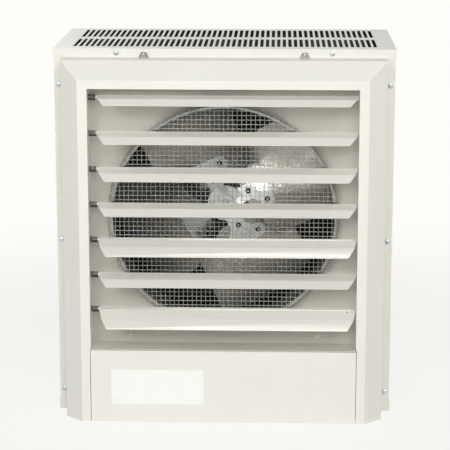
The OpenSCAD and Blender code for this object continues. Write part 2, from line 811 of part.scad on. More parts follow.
module louver_springs() {
    color("black") for (k = [1 : louver_count])
        translate([-opening_half_w, pivot_y, louver_z(k)]) polyhedron(spring_points, spring_faces);
}

// Bent clips over the seam between the cover's lip and the frame
module top_clips() {
    lip_y = strip_y - sheet;
    color("silver") for (s = [-1, 1]) {
        x = s * clip_x;
        difference() {
            span([x - clip_w / 2, lip_y - clip_out, frame_top_z],
                [x + clip_w / 2, lip_y, frame_top_z + clip_up]);
            span([x - clip_w / 2 - over, lip_y - clip_out - over, frame_top_z + clip_t],
                [x + clip_w / 2 + over, lip_y - clip_t, frame_top_z + clip_up + over]);
        }
    }
}

module lip_screws() {
    color("ivory") for (s = [-1, 1])
        screw_y(s * lip_screw_x, strip_y - sheet, (frame_top_z + cabinet_h) / 2, screw_l);
}

module strip_screws() {
    color("silver") for (s = [-1, 1], z = strip_screw_zs) screw_y(s * strip_screw_x, strip_y, z, screw_l);
}

module plate_screws() {
    color("silver") for (s = [-1, 1])
        screw_y(s * plate_screw_x, plate_y, opening_z + plate_screw_up, screw_l);
}

module back_screws() {
    color("silver") for (s = [-1, 1], z = back_screw_zs)
        translate([0, back_y, 0]) mirror([0, 1, 0]) screw_y(s * (half_w - back_screw_in), 0, z, screw_l);
}

module bracket_screws() {
    y = bracket_y + bracket_t + bracket_flange_d / 2;
    color("silver") for (s = [-1, 1], dz = [-bracket_bolt_dz, bracket_bolt_dz])
        mirror([s < 0 ? 1 : 0, 0, 0]) {
            round_x(y, fan_z + dz, bracket_bolt_r, half_w - bracket_bolt_l, half_w + bracket_head_h / 2);
            translate([half_w, y, fan_z + dz]) rotate([0, 90, 0])
                cylinder(r = bracket_head_r, h = bracket_head_h, $fn = 6);
        }
}

// Threaded inserts for the wall bracket
module wall_inserts() {
    color("silver") for (s = [-1, 1], z = [insert_z, insert_z + insert_rise]) difference() {
        union() {
            round_y(s * insert_x, z, insert_r, back_y - insert_l, back_y + sheet / 2);
            round_y(s * insert_x, z, insert_flange_r, back_y, back_y + sheet);
        }
        round_y(s * insert_x, z, insert_bore_r, back_y - insert_l - over, back_y + sheet + over);
    }
}

// Everything on the fan turns about its axis: children are drawn with +X along an arm and +Z across it
module at_arm(i) {
    translate([0, spider_y, fan_z]) rotate([0, -first_arm_angle - i * 360 / arm_count, 0]) children();
}

// A curved skin between two radii about an axis that runs along the arm, in front of the fan
module curved_skin(r_low, r_high) {
    translate([-fan_r, -blade_curve_r * cos(blade_pitch), blade_curve_r * sin(blade_pitch)])
        rotate([0, 90, 0]) difference() {
            cylinder(r = r_high, h = 3 * fan_r, $fn = 96);
            translate([0, 0, -over]) cylinder(r = r_low, h = 3 * fan_r + 2 * over, $fn = 96);
        }
}

// A flat outline across the arm, run through in Y
module through(depth) {
    rotate([90, 0, 0]) translate([0, 0, -depth]) linear_extrude(2 * depth) children();
}

module blade_outline() {
    intersection() {
        circle(r = fan_r);
        polygon(blade_shares * fan_r);
    }
}

// A hole or shank square to the skin at a place across the arm
module at_rivet(place) {
    lean = asin(sin(blade_pitch) - place[1] / blade_curve_r);
    reach_y = -blade_curve_r * cos(blade_pitch) + sqrt(pow(blade_curve_r, 2)
        - pow(place[1] - blade_curve_r * sin(blade_pitch), 2));
    translate([place[0], reach_y, place[1]]) rotate([-lean, 0, 0]) rotate([-90, 0, 0]) children();
}

module fan_blades() {
    color("lightgray") for (i = [0 : arm_count - 1]) at_arm(i) difference() {
        intersection() {
            curved_skin(blade_curve_r, blade_curve_r + blade_t);
            through(fan_r / 2) blade_outline();
        }
        for (place = rivet_places) at_rivet(place)
            translate([0, 0, -arm_t]) cylinder(r = rivet_r + slip_gap, h = 2 * arm_t + blade_t);
        through(fan_r / 2) circle(r = blade_root_r);
    }
}

module fan_spider() {
    color("gainsboro") difference() {
        union() {
            round_y(0, fan_z, spider_disc_r, spider_y - arm_t, spider_y);
            for (i = [0 : arm_count - 1]) at_arm(i) intersection() {
                curved_skin(blade_curve_r - arm_t, blade_curve_r - skin_gap);
                through(fan_r / 2) union() {
                    polygon(arm_shares * fan_r);
                    for (place = rivet_places) translate(place) circle(r = arm_pad_r);
                }
            }
        }
        round_y(0, fan_z, hub_r + slip_gap, spider_y - spider_disc_r, spider_y + spider_disc_r);
        for (i = [0 : arm_count - 1], place = rivet_places) at_arm(i) at_rivet(place)
            translate([0, 0, -2 * arm_t]) cylinder(r = rivet_r + slip_gap, h = 4 * arm_t);
        round_y(0, fan_z, spider_disc_r, spider_y, spider_y + spider_disc_r);
    }
}

module fan_rivets() {
    low = -arm_t - rivet_seat_gap;
    head_y = -arm_t - rivet_head_h;
    tail_y = blade_t + rivet_seat_gap;
    color("gray") for (i = [0 : arm_count - 1], place = rivet_places)
        at_arm(i) at_rivet(place) rotate_extrude() polygon([[0, head_y], [rivet_head_r / 2, head_y],
            [rivet_head_r * 0.85, -arm_t - rivet_head_h / 2], [rivet_head_r, low], [rivet_r, low],
            [rivet_r, tail_y], [rivet_tail_r, tail_y], [rivet_tail_r, tail_y + rivet_tail_h],
            [0, tail_y + rivet_tail_h]]);
}

module fan_hub() {
    color("silver") difference() {
        union() {
            round_y(0, fan_z, hub_r, spider_y - arm_t - hub_front_l, spider_y + hub_rear_l);
            round_y(0, fan_z, hub_flange_r, spider_y, spider_y + hub_flange_t);
        }
        round_y(0, fan_z, shaft_r + slip_gap / 2, spider_y - spider_disc_r, spider_y + spider_disc_r);
        translate([0, spider_y + hub_rear_l / 2 + hub_flange_t, fan_z])
            cylinder(r = set_screw_r + slip_gap, h = hub_r + over);
    }
}

module fan_set_screw() {
    color("dimgray") translate([0, spider_y + hub_rear_l / 2 + hub_flange_t, fan_z + shaft_r + slip_gap])
        cylinder(r = set_screw_r, h = set_screw_l);
}

module motor_shaft() {
    color("silver") round_y(0, fan_z, shaft_r, spider_y - arm_t - hub_front_l - shaft_end_l,
        rear_bell_y - shaft_tail);
}

// The motor's bolt holes, through all of its three parts
module motor_bolt_holes() {
    for (a = motor_bolt_angles)
        round_y(motor_bolt_circle * cos(a), fan_z + motor_bolt_circle * sin(a), motor_bolt_r + slip_gap,
            motor_y - over, bracket_y + bracket_t + over);
}

module motor_front_bell() {
    color("lightsteelblue") difference() {
        turned_y(motor_y, [[shaft_r + run_gap, 0], [bell_lip_r, 0], [bell_lip_r, bell_shoulder / 2],
            [motor_r * 0.7, bell_shoulder], [motor_r * 0.9, bell_shoulder * 1.6],
            [motor_r, front_bell_l * 0.75], [motor_r, front_bell_l], [shaft_r + run_gap, front_bell_l]]);
        motor_bolt_holes();
    }
}

module motor_housing() {
    color("slategray") difference() {
        union() {
            turned_y(housing_y, [[shaft_r + run_gap, 0], [motor_r, 0], [motor_r, housing_l],
                [shaft_r + run_gap, housing_l]]);
            translate([0, housing_y + housing_l / 2, fan_z - motor_r - conduit_boss_l])
                cylinder(r = conduit_boss_r, h = 2 * conduit_boss_l);
        }
        motor_bolt_holes();
    }
}

module motor_rear_bell() {
    color("lightsteelblue") difference() {
        turned_y(rear_bell_y, [[0, 0], [motor_r, 0], [motor_r, rear_bell_l * 0.5],
            [motor_r - bell_shoulder, rear_bell_l], [0, rear_bell_l]]);
        motor_bolt_holes();
    }
}

module motor_bolts() {
    color("silver") for (a = motor_bolt_angles) {
        x = motor_bolt_circle * cos(a);
        z = fan_z + motor_bolt_circle * sin(a);
        head_y = motor_y + bell_shoulder * 1.6 + front_bell_l / 4;
        round_y(x, z, motor_bolt_r, head_y - motor_bolt_head_h,
            bracket_y + bracket_t + motor_bolt_head_h / 2);
        translate([x, bracket_y + bracket_t, z]) rotate([-90, 0, 0])
            cylinder(r = motor_bolt_head_r, h = motor_bolt_head_h, $fn = 6);
    }
}

// The motor's bracket, a bar from side panel to side panel with a bolted flange at each end
module motor_bracket() {
    color("gainsboro") difference() {
        union() {
            span([-inner_x, bracket_y, fan_z - bracket_half_h],
                [inner_x, bracket_y + bracket_t, fan_z + bracket_half_h]);
            for (s = [-1, 1]) mirror([s < 0 ? 1 : 0, 0, 0])
                span([inner_x - bracket_t, bracket_y, fan_z - bracket_half_h],
                    [inner_x, bracket_y + bracket_t + bracket_flange_d, fan_z + bracket_half_h]);
        }
        motor_bolt_holes();
        for (s = [-1, 1], dz = [-bracket_bolt_dz, bracket_bolt_dz])
            round_x(bracket_y + bracket_t + bracket_flange_d / 2, fan_z + dz, bracket_bolt_r + slip_gap,
                s * (inner_x - bracket_t / 2) - bracket_t, s * (inner_x - bracket_t / 2) + bracket_t);
    }
}

// The cable's conduit from the motor down through the shelf
module motor_conduit() {
    color("darkgray") translate([0, housing_y + housing_l / 2, shelf_z - conduit_low])
        cylinder(r = conduit_r, h = fan_z - motor_r - conduit_boss_l - shelf_z + conduit_low);
}

module conduit_grommet() {
    r_in = conduit_r + slip_gap;
    r_neck = r_in + ring_wall;
    r_lip = r_neck + grommet_lip;
    color("black") translate([0, housing_y + housing_l / 2, shelf_z]) rotate_extrude()
        polygon([[r_in, -ring_wall], [r_lip, -ring_wall], [r_lip, 0], [r_neck, 0], [r_neck, sheet],
            [r_lip, sheet], [r_lip, sheet + ring_wall], [r_in, sheet + ring_wall]]);
}

// A straight finned run along +Z from z = 0, bare at both ends
module finned(l, bare_low, bare_high) {
    count = floor((l - bare_low - bare_high) / fin_pitch);
    comb = [for (i = [0 : count - 1]) let (z = bare_low + i * fin_pitch)
        each [[element_r, z], [fin_r, z], [fin_r, z + fin_t], [element_r, z + fin_t]]];
    rotate_extrude() polygon(concat([[0, 0], [element_r, 0]], comb, [[element_r, l], [0, l]]));
}

// One element: two legs, two bends and a top run, all finned but for the bends
module element(y) {
    leg_low = opening_z;
    below_l = support_z - leg_low;
    above_z = support_z + support_t;
    leg_top = element_top_z - element_bend_r;
    for (s = [-1, 1]) {
        translate([s * element_leg_x, y, leg_low]) finned(below_l, leg_fin_low, leg_fin_top);
        translate([s * element_leg_x, y, support_z]) finned(leg_top - support_z, leg_fin_top, leg_fin_top);
        translate([s * element_leg_x, y, shelf_z - terminal_drop])
            cylinder(r = element_r, h = terminal_drop + nut_h);
        translate([s * element_leg_x, y, shelf_z - terminal_drop - stud_drop])
            cylinder(r = stud_r, h = 2 * stud_drop);
        translate([s * (element_leg_x - element_bend_r), y, leg_top]) mirror([s < 0 ? 1 : 0, 0, 0])
            rotate([90, 0, 0]) rotate_extrude(angle = 90)
                translate([element_bend_r, 0]) circle(r = element_r);
    }
    translate([-element_leg_x + element_bend_r, y, element_top_z]) rotate([0, 90, 0])
        finned(2 * (element_leg_x - element_bend_r), leg_fin_top, leg_fin_top);
}

module heating_elements() {
    color("saddlebrown") for (i = [0 : element_count - 1]) union() element(element_y(i));
}

// Two plates that hold the elements' legs to the side panels
module element_supports() {
    color("gainsboro") for (s = [-1, 1]) mirror([s < 0 ? 1 : 0, 0, 0]) difference() {
        span([element_leg_x - support_in, element_y(0) - support_margin, support_z],
            [inner_x, element_y(element_count - 1) + support_margin, support_z + support_t]);
        for (i = [0 : element_count - 1]) translate([element_leg_x, element_y(i), support_z - over])
            cylinder(r = element_r + slip_gap, h = support_t + 2 * over);
    }
}

// A nut over and a nut under the shelf on each leg
module element_nuts() {
    color("goldenrod") for (i = [0 : element_count - 1], s = [-1, 1], z = [opening_z, shelf_z - nut_h])
        translate([s * element_leg_x, element_y(i), z]) difference() {
            cylinder(r = nut_r, h = nut_h, $fn = 6);
            translate([0, 0, -over]) cylinder(r = element_r + slip_gap, h = nut_h + 2 * over);
        }
}

// The over-heat cut-out on the back of the orifice plate
module heat_cutout() {
    color("dimgray") union() {
        round_y(cutout_x, cutout_z, cutout_r, plate_back_y, plate_back_y + cutout_l);
        span([cutout_x - cutout_ear_half, plate_back_y, cutout_z - cutout_ear_h / 2],
            [cutout_x + cutout_ear_half, plate_back_y + foot_t, cutout_z + cutout_ear_h / 2]);
    }
}

// A block on a wider foot, standing on the pan
module footed(at, size) {
    span([at[0], at[1], pan_top], [at[0] + size[0], at[1] + size[1], pan_top + size[2]]);
    span([at[0] - foot_out, at[1] + size[1] / 4, pan_top],
        [at[0] + size[0] + foot_out, at[1] + size[1] * 3 / 4, pan_top + foot_t]);
}

module contactor() {
    pocket_w = contactor_size[0] / (2 * contactor_poles + 1);
    pocket_z = pan_top + contactor_size[2] * 0.7;
    color("darkslategray") difference() {
        footed(contactor_at, contactor_size);
        for (i = [0 : contactor_poles - 1]) {
            x = contactor_at[0] + (2 * i + 1) * pocket_w;
            span([x, contactor_at[1] - over, pocket_z], [x + pocket_w,
                contactor_at[1] + contactor_size[1] / 5, pan_top + contactor_size[2] + over]);
        }
    }
}

module terminal_block() {
    color("black") union() {
        span([block_at[0], block_at[1], pan_top],
            [block_at[0] + block_size[0], block_at[1] + block_size[1], pan_top + block_size[2]]);
        for (i = [0 : block_poles]) {
            x = block_at[0] + i * (block_size[0] - block_rib_t) / block_poles;
            span([x, block_at[1], pan_top], [x + block_rib_t, block_at[1] + block_size[1],
                pan_top + block_size[2] + block_rib_h]);
        }
    }
}

module transformer() {
    color("dimgray") union() {
        footed(transformer_at, transformer_size);
        span([transformer_at[0] + coil_out, transformer_at[1] - coil_out, pan_top + coil_out],
            [transformer_at[0] + transformer_size[0] - coil_out,
                transformer_at[1] + transformer_size[1] + coil_out,
                pan_top + transformer_size[2] - coil_out]);
    }
}

module fan_relay() {
    color("gray") union() {
        span([relay_at[0], relay_at[1], pan_top],
            [relay_at[0] + relay_size[0], relay_at[1] + relay_size[1], pan_top + relay_size[2]]);
        span([relay_at[0] - relay_pins_h, relay_at[1] - relay_pins_h, pan_top],
            [relay_at[0] + relay_size[0] + relay_pins_h, relay_at[1] + relay_size[1] + relay_pins_h,
                pan_top + relay_pins_h]);
    }
}

module earth_lug() {
    color("goldenrod") union() {
        span([lug_at[0], lug_at[1], pan_top],
            [lug_at[0] + lug_size[0], lug_at[1] + lug_size[1], pan_top + lug_size[2]]);
        translate([lug_at[0] + lug_size[0] / 2, lug_at[1] + lug_size[1] / 2, pan_top])
            cylinder(r = lug_screw_r, h = lug_size[2] + lug_screw_r);
    }
}

side_panel_left();
side_panel_right();
bottom_pan();
top_cover();
back_panel();
front_header();
front_frame();
control_shelf();
access_door();
door_label();
door_pins();
door_catches();
orifice_plate();
fan_shroud();
guard_ring();
guard_mesh();
louver(1);  // louver_1
louver(2);  // louver_2
louver(3);  // louver_3
louver(4);  // louver_4
louver(5);  // louver_5
louver(6);  // louver_6
louver(7);  // louver_7
louver_pins(1);  // louver_1_pins
louver_pins(2);  // louver_2_pins
louver_pins(3);  // louver_3_pins
louver_pins(4);  // louver_4_pins
louver_pins(5);  // louver_5_pins
louver_pins(6);  // louver_6_pins
louver_pins(7);  // louver_7_pins
louver_springs();
top_clips();
lip_screws();
strip_screws();
plate_screws();
back_screws();
bracket_screws();
wall_inserts();
fan_blades();
fan_spider();
fan_hub();
fan_rivets();
fan_set_screw();
motor_shaft();
motor_housing();
motor_front_bell();
motor_rear_bell();
motor_bolts();
motor_bracket();
motor_conduit();
conduit_grommet();
heating_elements();
element_supports();
element_nuts();
heat_cutout();
contactor();
terminal_block();
transformer();
fan_relay();
earth_lug();
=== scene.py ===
import json
import math
import bmesh
import bpy
from mathutils import Matrix, Vector

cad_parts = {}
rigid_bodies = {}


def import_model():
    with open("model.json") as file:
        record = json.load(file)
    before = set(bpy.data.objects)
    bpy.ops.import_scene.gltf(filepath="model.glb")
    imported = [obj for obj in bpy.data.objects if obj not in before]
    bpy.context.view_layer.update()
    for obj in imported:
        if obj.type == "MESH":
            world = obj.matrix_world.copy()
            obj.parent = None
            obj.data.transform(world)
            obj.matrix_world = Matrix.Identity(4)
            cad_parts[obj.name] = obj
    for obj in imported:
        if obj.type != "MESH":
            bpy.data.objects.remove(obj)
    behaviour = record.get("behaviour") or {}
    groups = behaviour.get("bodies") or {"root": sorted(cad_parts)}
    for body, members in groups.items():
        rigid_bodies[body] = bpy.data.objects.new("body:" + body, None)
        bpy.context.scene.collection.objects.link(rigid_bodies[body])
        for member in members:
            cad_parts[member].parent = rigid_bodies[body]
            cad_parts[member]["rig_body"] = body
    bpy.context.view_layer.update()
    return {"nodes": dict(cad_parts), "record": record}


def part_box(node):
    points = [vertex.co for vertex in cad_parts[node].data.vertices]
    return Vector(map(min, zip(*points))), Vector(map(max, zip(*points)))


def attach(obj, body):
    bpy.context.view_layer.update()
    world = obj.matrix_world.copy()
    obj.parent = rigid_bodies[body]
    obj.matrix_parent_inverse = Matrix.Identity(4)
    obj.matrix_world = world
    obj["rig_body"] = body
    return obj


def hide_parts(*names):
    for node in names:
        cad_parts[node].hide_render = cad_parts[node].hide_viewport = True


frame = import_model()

nodes = frame["nodes"]
mergeGap = 0.000004     # corners closer than this are one corner
flatAngle = 0.6         # degrees under which two faces are one flat face
near = 0.0001           # how far off a corner may be and still be picked
faceWeight = 60         # how much a large face's normal counts at its corners, where 50 is neutral
sortDigits = 4          # decimals of a metre that tell one column of solids from the next
print("heater: frame loaded with", len(nodes), "nodes")


# node helpers: a plain value is set on its socket, and another node's output is linked to it
def feed(tree, socket, given):
    if isinstance(given, bpy.types.NodeSocket):
        tree.links.new(given, socket)
    else:
        socket.default_value = given


def maths(tree, operation, first, second):
    node = tree.nodes.new("ShaderNodeMath")
    node.operation = operation
    feed(tree, node.inputs[0], first)
    feed(tree, node.inputs[1], second)
    return node.outputs[0]


def noise(tree, vector, scale, detail, rough=0.5):
    tex = tree.nodes.new("ShaderNodeTexNoise")
    for label, given in (("Vector", vector), ("Scale", scale), ("Detail", detail), ("Roughness", rough)):
        feed(tree, tex.inputs[label], given)
    return tex.outputs["Fac"]


# a value that runs from low to high, made to run from toLow to toHigh
def spread(tree, value, low, high, toLow, toHigh, kind="LINEAR"):
    ranged = tree.nodes.new("ShaderNodeMapRange")
    ranged.interpolation_type = kind
    for label, given in (("Value", value), ("From Min", low), ("From Max", high), ("To Min", toLow),
                         ("To Max", toHigh)):
        feed(tree, ranged.inputs[label], given)
    return ranged.outputs["Result"]


def mixColour(tree, share, first, second, blend="MIX"):
    mix = tree.nodes.new("ShaderNodeMix")
    mix.data_type = "RGBA"
    mix.blend_type = blend
    # a Mix node has sockets for every kind of data: these are the share's and the two colours'
    for slot, given in ((0, share), (6, first), (7, second)):
        feed(tree, mix.inputs[slot], given)
    return mix.outputs[2]


def bump(tree, height, strength, distance):
    node = tree.nodes.new("ShaderNodeBump")
    for label, given in (("Height", height), ("Strength", strength), ("Distance", distance)):
        feed(tree, node.inputs[label], given)
    return node.outputs["Normal"]


def splitVector(tree, vector):
    node = tree.nodes.new("ShaderNodeSeparateXYZ")
    tree.links.new(vector, node.inputs[0])
    return node.outputs


def facing(tree, axis):
    geometry = tree.nodes.new("ShaderNodeNewGeometry")
    return splitVector(tree, geometry.outputs["Normal"])[axis]


# camera, floor and lights
camera = {
    "place": (0.0765, -2.443, 0.8387),
    "turn": 1.833,          # degrees to the left of straight ahead
    "down": 11.90,          # degrees below level
    "lens": 136.0,          # millimetres, as the sensor
    "sensor": 36,
    "shiftY": -0.1,
    "far": 200,             # metres
}
studio = {
    "backdrop": (0.990, 0.985, 0.955),
    "ambient": 0.12,
    "light": (1.0, 0.998, 0.985),
    "floorSize": 60.0,
    "floorDrop": 0.0002,
    "floorColour": (0.86, 0.85, 0.82),
    "floorShadow": 0.16,    # how much of the floor's own shading the camera sees beside the object
    "shadowNear": 0.45,
    "shadowFar": 1.3,       # from here on it sees the backdrop's white alone
    # name: place, aim, width, height, watts
    "lamps": {
        "keyLamp": ((0.85, -3.8, 2.9), (0, -0.1, 0.28), 3.0, 2.2, 114),
        "bladeLamp": ((-1.2, -2.9, 1.5), (0, 0, 0.3), 1.1, 1.0, 30),
        "fillLamp": ((2.8, -2.2, 1.2), (0, -0.1, 0.25), 1.4, 2.0, 9),
        "rearLamp": ((-1.6, 3.2, 1.8), (0, 0, 0.3), 2.0, 2.0, 26),
    },
}


def sRgb(red, green, blue):
    def linear(c):
        c = c / 255
        return c / 12.92 if c <= 0.04045 else ((c + 0.055) / 1.055) ** 2.4
    return (linear(red), linear(green), linear(blue), 1.0)


def aimAt(obj, target):
    obj.rotation_euler = (Vector(target) - obj.location).to_track_quat("-Z", "Y").to_euler()


def addCamera():
    bpy.ops.object.camera_add(location=camera["place"])
    cam = bpy.context.object
    cam.name = "photoCamera"
    cam.rotation_euler = (math.radians(90 - camera["down"]), 0, math.radians(camera["turn"]))
    cam.data.sensor_width = camera["sensor"]
    cam.data.lens = camera["lens"]
    cam.data.shift_y = camera["shiftY"]
    cam.data.clip_end = camera["far"]
    bpy.context.scene.camera = cam


def addLamps():
    for name, (place, aim, width, height, watts) in studio["lamps"].items():
        bpy.ops.object.light_add(type="AREA", location=place)
        lamp = bpy.context.object
        lamp.name = name
        aimAt(lamp, aim)
        lamp.data.shape = "RECTANGLE"
        lamp.data.size = width
        lamp.data.size_y = height
        lamp.data.energy = watts
        lamp.data.color = studio["light"]


# white where the camera sees it, also in or through a piece, and plain soft light for all else
def whiteToCamera(tree, plain, backdrop, share):
    path = tree.nodes.new("ShaderNodeLightPath").outputs
    seen = maths(tree, "MAXIMUM", path["Is Camera Ray"], path["Is Glossy Ray"])
    seen = maths(tree, "MAXIMUM", seen, path["Is Transmission Ray"])
    mix = tree.nodes.new("ShaderNodeMixShader")
    tree.links.new(maths(tree, "MULTIPLY", seen, share), mix.inputs[0])
    tree.links.new(plain.outputs[0], mix.inputs[1])
    tree.links.new(backdrop.outputs[0], mix.inputs[2])
    return mix


def addWorld():
    world = bpy.data.worlds.new("studioWorld")
    bpy.context.scene.world = world
    world.use_nodes = True
    tree = world.node_tree
    tree.nodes.clear()
    out = tree.nodes.new("ShaderNodeOutputWorld")
    plain = tree.nodes.new("ShaderNodeBackground")
    plain.inputs["Color"].default_value = (*studio["light"], 1)
    plain.inputs["Strength"].default_value = studio["ambient"]
    backdrop = tree.nodes.new("ShaderNodeBackground")
    backdrop.inputs["Color"].default_value = (*studio["backdrop"], 1)
    tree.links.new(whiteToCamera(tree, plain, backdrop, 1.0).outputs[0], out.inputs[0])


def addFloor():
    bpy.ops.mesh.primitive_plane_add(size=studio["floorSize"], location=(0, 0, -studio["floorDrop"]))
    floor = bpy.context.object
    floor.name = "studioFloor"
    mat = bpy.data.materials.new("studioFloor")
    mat.use_nodes = True
    tree = mat.node_tree
    tree.nodes.clear()
    out = tree.nodes.new("ShaderNodeOutputMaterial")
    plain = tree.nodes.new("ShaderNodeBsdfDiffuse")
    plain.inputs["Color"].default_value = (*studio["floorColour"], 1)
    backdrop = tree.nodes.new("ShaderNodeEmission")
    backdrop.inputs["Color"].default_value = (*studio["backdrop"], 1)
    coords = tree.nodes.new("ShaderNodeTexCoord")
    away = tree.nodes.new("ShaderNodeVectorMath")
    away.operation = "LENGTH"
    tree.links.new(coords.outputs["Object"], away.inputs[0])
    share = spread(tree, away.outputs["Value"], studio["shadowNear"], studio["shadowFar"],
                   1 - studio["floorShadow"], 1.0, "SMOOTHSTEP")
    tree.links.new(whiteToCamera(tree, plain, backdrop, share).outputs[0], out.inputs[0])
    floor.data.materials.append(mat)


bpy.context.scene.view_settings.view_transform = "Standard"
addCamera()
addLamps()
addWorld()
addFloor()
print("heater: camera, lamps and floor are in place")


# shared shader groups: in their values, two numbers are the range that a pattern works over, and
# four are that range and what it is made to run between
def newGroup(name, inputs, outputs):
    group = bpy.data.node_groups.new(name, "ShaderNodeTree")
    for label, kind, value in inputs:
        socket = group.interface.new_socket(label, in_out="INPUT", socket_type=kind)
        if value is not None:
            socket.default_value = value
    for label, kind in outputs:
        group.interface.new_socket(label, in_out="OUTPUT", socket_type=kind)
    return group, group.nodes.new("NodeGroupInput"), group.nodes.new("NodeGroupOutput")


# sprayed paint: orange peel, a little mottling, and a trace of dust where a face looks up
paint = {
    "cloudScale": 14.0,
    "cloudDetail": 3.0,
    "mottled": (0.3, 0.7),              # the clouds' values from no mottling to all of it
    "mottleTint": (0.80, 0.78, 0.74, 1),
    "peelDetail": 2.5,
    "peelRough": 0.45,
    "peelStrength": 0.6,
    "lookingUp": (0.6, 1.0),            # the normal's Z from no dust to all of it
    "speckScale": 900.0,
    "speckDetail": 1.0,
    "specked": (0.45, 0.75),
    "dustColour": (0.50, 0.47, 0.42, 1),
    "rougher": (0.2, 0.8, -0.05, 0.07),
}


def makePaintGroup():
    group, given, out = newGroup("sprayedPaint", [
        ("Vector", "NodeSocketVector", None), ("Colour", "NodeSocketColor", (0.8, 0.8, 0.8, 1)),
        ("Mottle", "NodeSocketFloat", 0.03), ("Peel Scale", "NodeSocketFloat", 500.0),
        ("Peel Height", "NodeSocketFloat", 0.00002), ("Roughness", "NodeSocketFloat", 0.35),
        ("Dust", "NodeSocketFloat", 0.05)],
        [("Colour", "NodeSocketColor"), ("Roughness", "NodeSocketFloat"), ("Normal", "NodeSocketVector")])
    vector, colour = given.outputs["Vector"], given.outputs["Colour"]
    clouds = noise(group, vector, paint["cloudScale"], paint["cloudDetail"])
    grains = noise(group, vector, given.outputs["Peel Scale"], paint["peelDetail"], paint["peelRough"])
    specks = noise(group, vector, paint["speckScale"], paint["speckDetail"])
    mottling = spread(group, clouds, *paint["mottled"], 0.0, given.outputs["Mottle"])
    darker = mixColour(group, 1.0, colour, paint["mottleTint"], "MULTIPLY")
    toned = mixColour(group, mottling, colour, darker)
    upward = spread(group, facing(group, "Z"), *paint["lookingUp"], 0.0, 1.0)
    specked = spread(group, specks, *paint["specked"], 0.0, given.outputs["Dust"])
    dusty = maths(group, "MULTIPLY", upward, specked)
    group.links.new(mixColour(group, dusty, toned, paint["dustColour"]), out.inputs["Colour"])
    rougher = spread(group, clouds, *paint["rougher"])
    group.links.new(maths(group, "ADD", given.outputs["Roughness"], rougher), out.inputs["Roughness"])
    peel = bump(group, grains, paint["peelStrength"], given.outputs["Peel Height"])
    group.links.new(peel, out.inputs["Normal"])
    return group


# rolled or drawn metal: streaks along one axis, fine scratches and soft stains
metal = {
    "streakDetail": 4.0,
    "streakRough": 0.6,
    "streakStrength": 0.7,
    "cloudScale": 38.0,
    "cloudDetail": 4.0,
    "cloudRough": 0.6,
    "patched": (0.42, 0.72),
    "streaked": (0.35, 0.65, 0.0, 0.35),
    "rougherStreaks": (0.3, 0.7, -0.06, 0.10),
    "rougherClouds": (0.3, 0.7, -0.03, 0.08),
}


def makeMetalGroup():
    group, given, out = newGroup("rolledMetal", [
        ("Vector", "NodeSocketVector", None), ("Colour", "NodeSocketColor", (0.8, 0.8, 0.8, 1)),
        ("Stain", "NodeSocketColor", (0.4, 0.38, 0.34, 1)), ("Stain Share", "NodeSocketFloat", 0.2),
        ("Streaks", "NodeSocketVector", None), ("Streak Height", "NodeSocketFloat", 0.000006),
        ("Roughness", "NodeSocketFloat", 0.3)],
        [("Colour", "NodeSocketColor"), ("Roughness", "NodeSocketFloat"), ("Normal", "NodeSocketVector")])
    vector, stain = given.outputs["Vector"], given.outputs["Stain"]
    stretch = group.nodes.new("ShaderNodeVectorMath")
    stretch.operation = "MULTIPLY"
    group.links.new(vector, stretch.inputs[0])
    group.links.new(given.outputs["Streaks"], stretch.inputs[1])
    streaks = noise(group, stretch.outputs["Vector"], 1.0, metal["streakDetail"], metal["streakRough"])
    clouds = noise(group, vector, metal["cloudScale"], metal["cloudDetail"], metal["cloudRough"])
    patches = spread(group, clouds, *metal["patched"], 0.0, given.outputs["Stain Share"])
    streaked = mixColour(group, spread(group, streaks, *metal["streaked"]), given.outputs["Colour"], stain)
    group.links.new(mixColour(group, patches, streaked, stain), out.inputs["Colour"])
    rougher = maths(group, "ADD", spread(group, streaks, *metal["rougherStreaks"]),
                    spread(group, clouds, *metal["rougherClouds"]))
    group.links.new(maths(group, "ADD", given.outputs["Roughness"], rougher), out.inputs["Roughness"])
    scratches = bump(group, streaks, metal["streakStrength"], given.outputs["Streak Height"])
    group.links.new(scratches, out.inputs["Normal"])
    return group


# zinc flowers on galvanised steel
spangle = {
    "grainScale": 700.0,
    "grainDetail": 3.0,
    "darkTint": (0.55, 0.57, 0.60, 1),
    "rougherFlowers": (0.0, 1.0, -0.08, 0.1),
    "rougherGrain": (0.3, 0.7, -0.03, 0.05),
    "flowerShare": 0.5,     # the flowers' and the grain's parts of the height
    "grainShare": 0.5,
    "strength": 0.5,
}


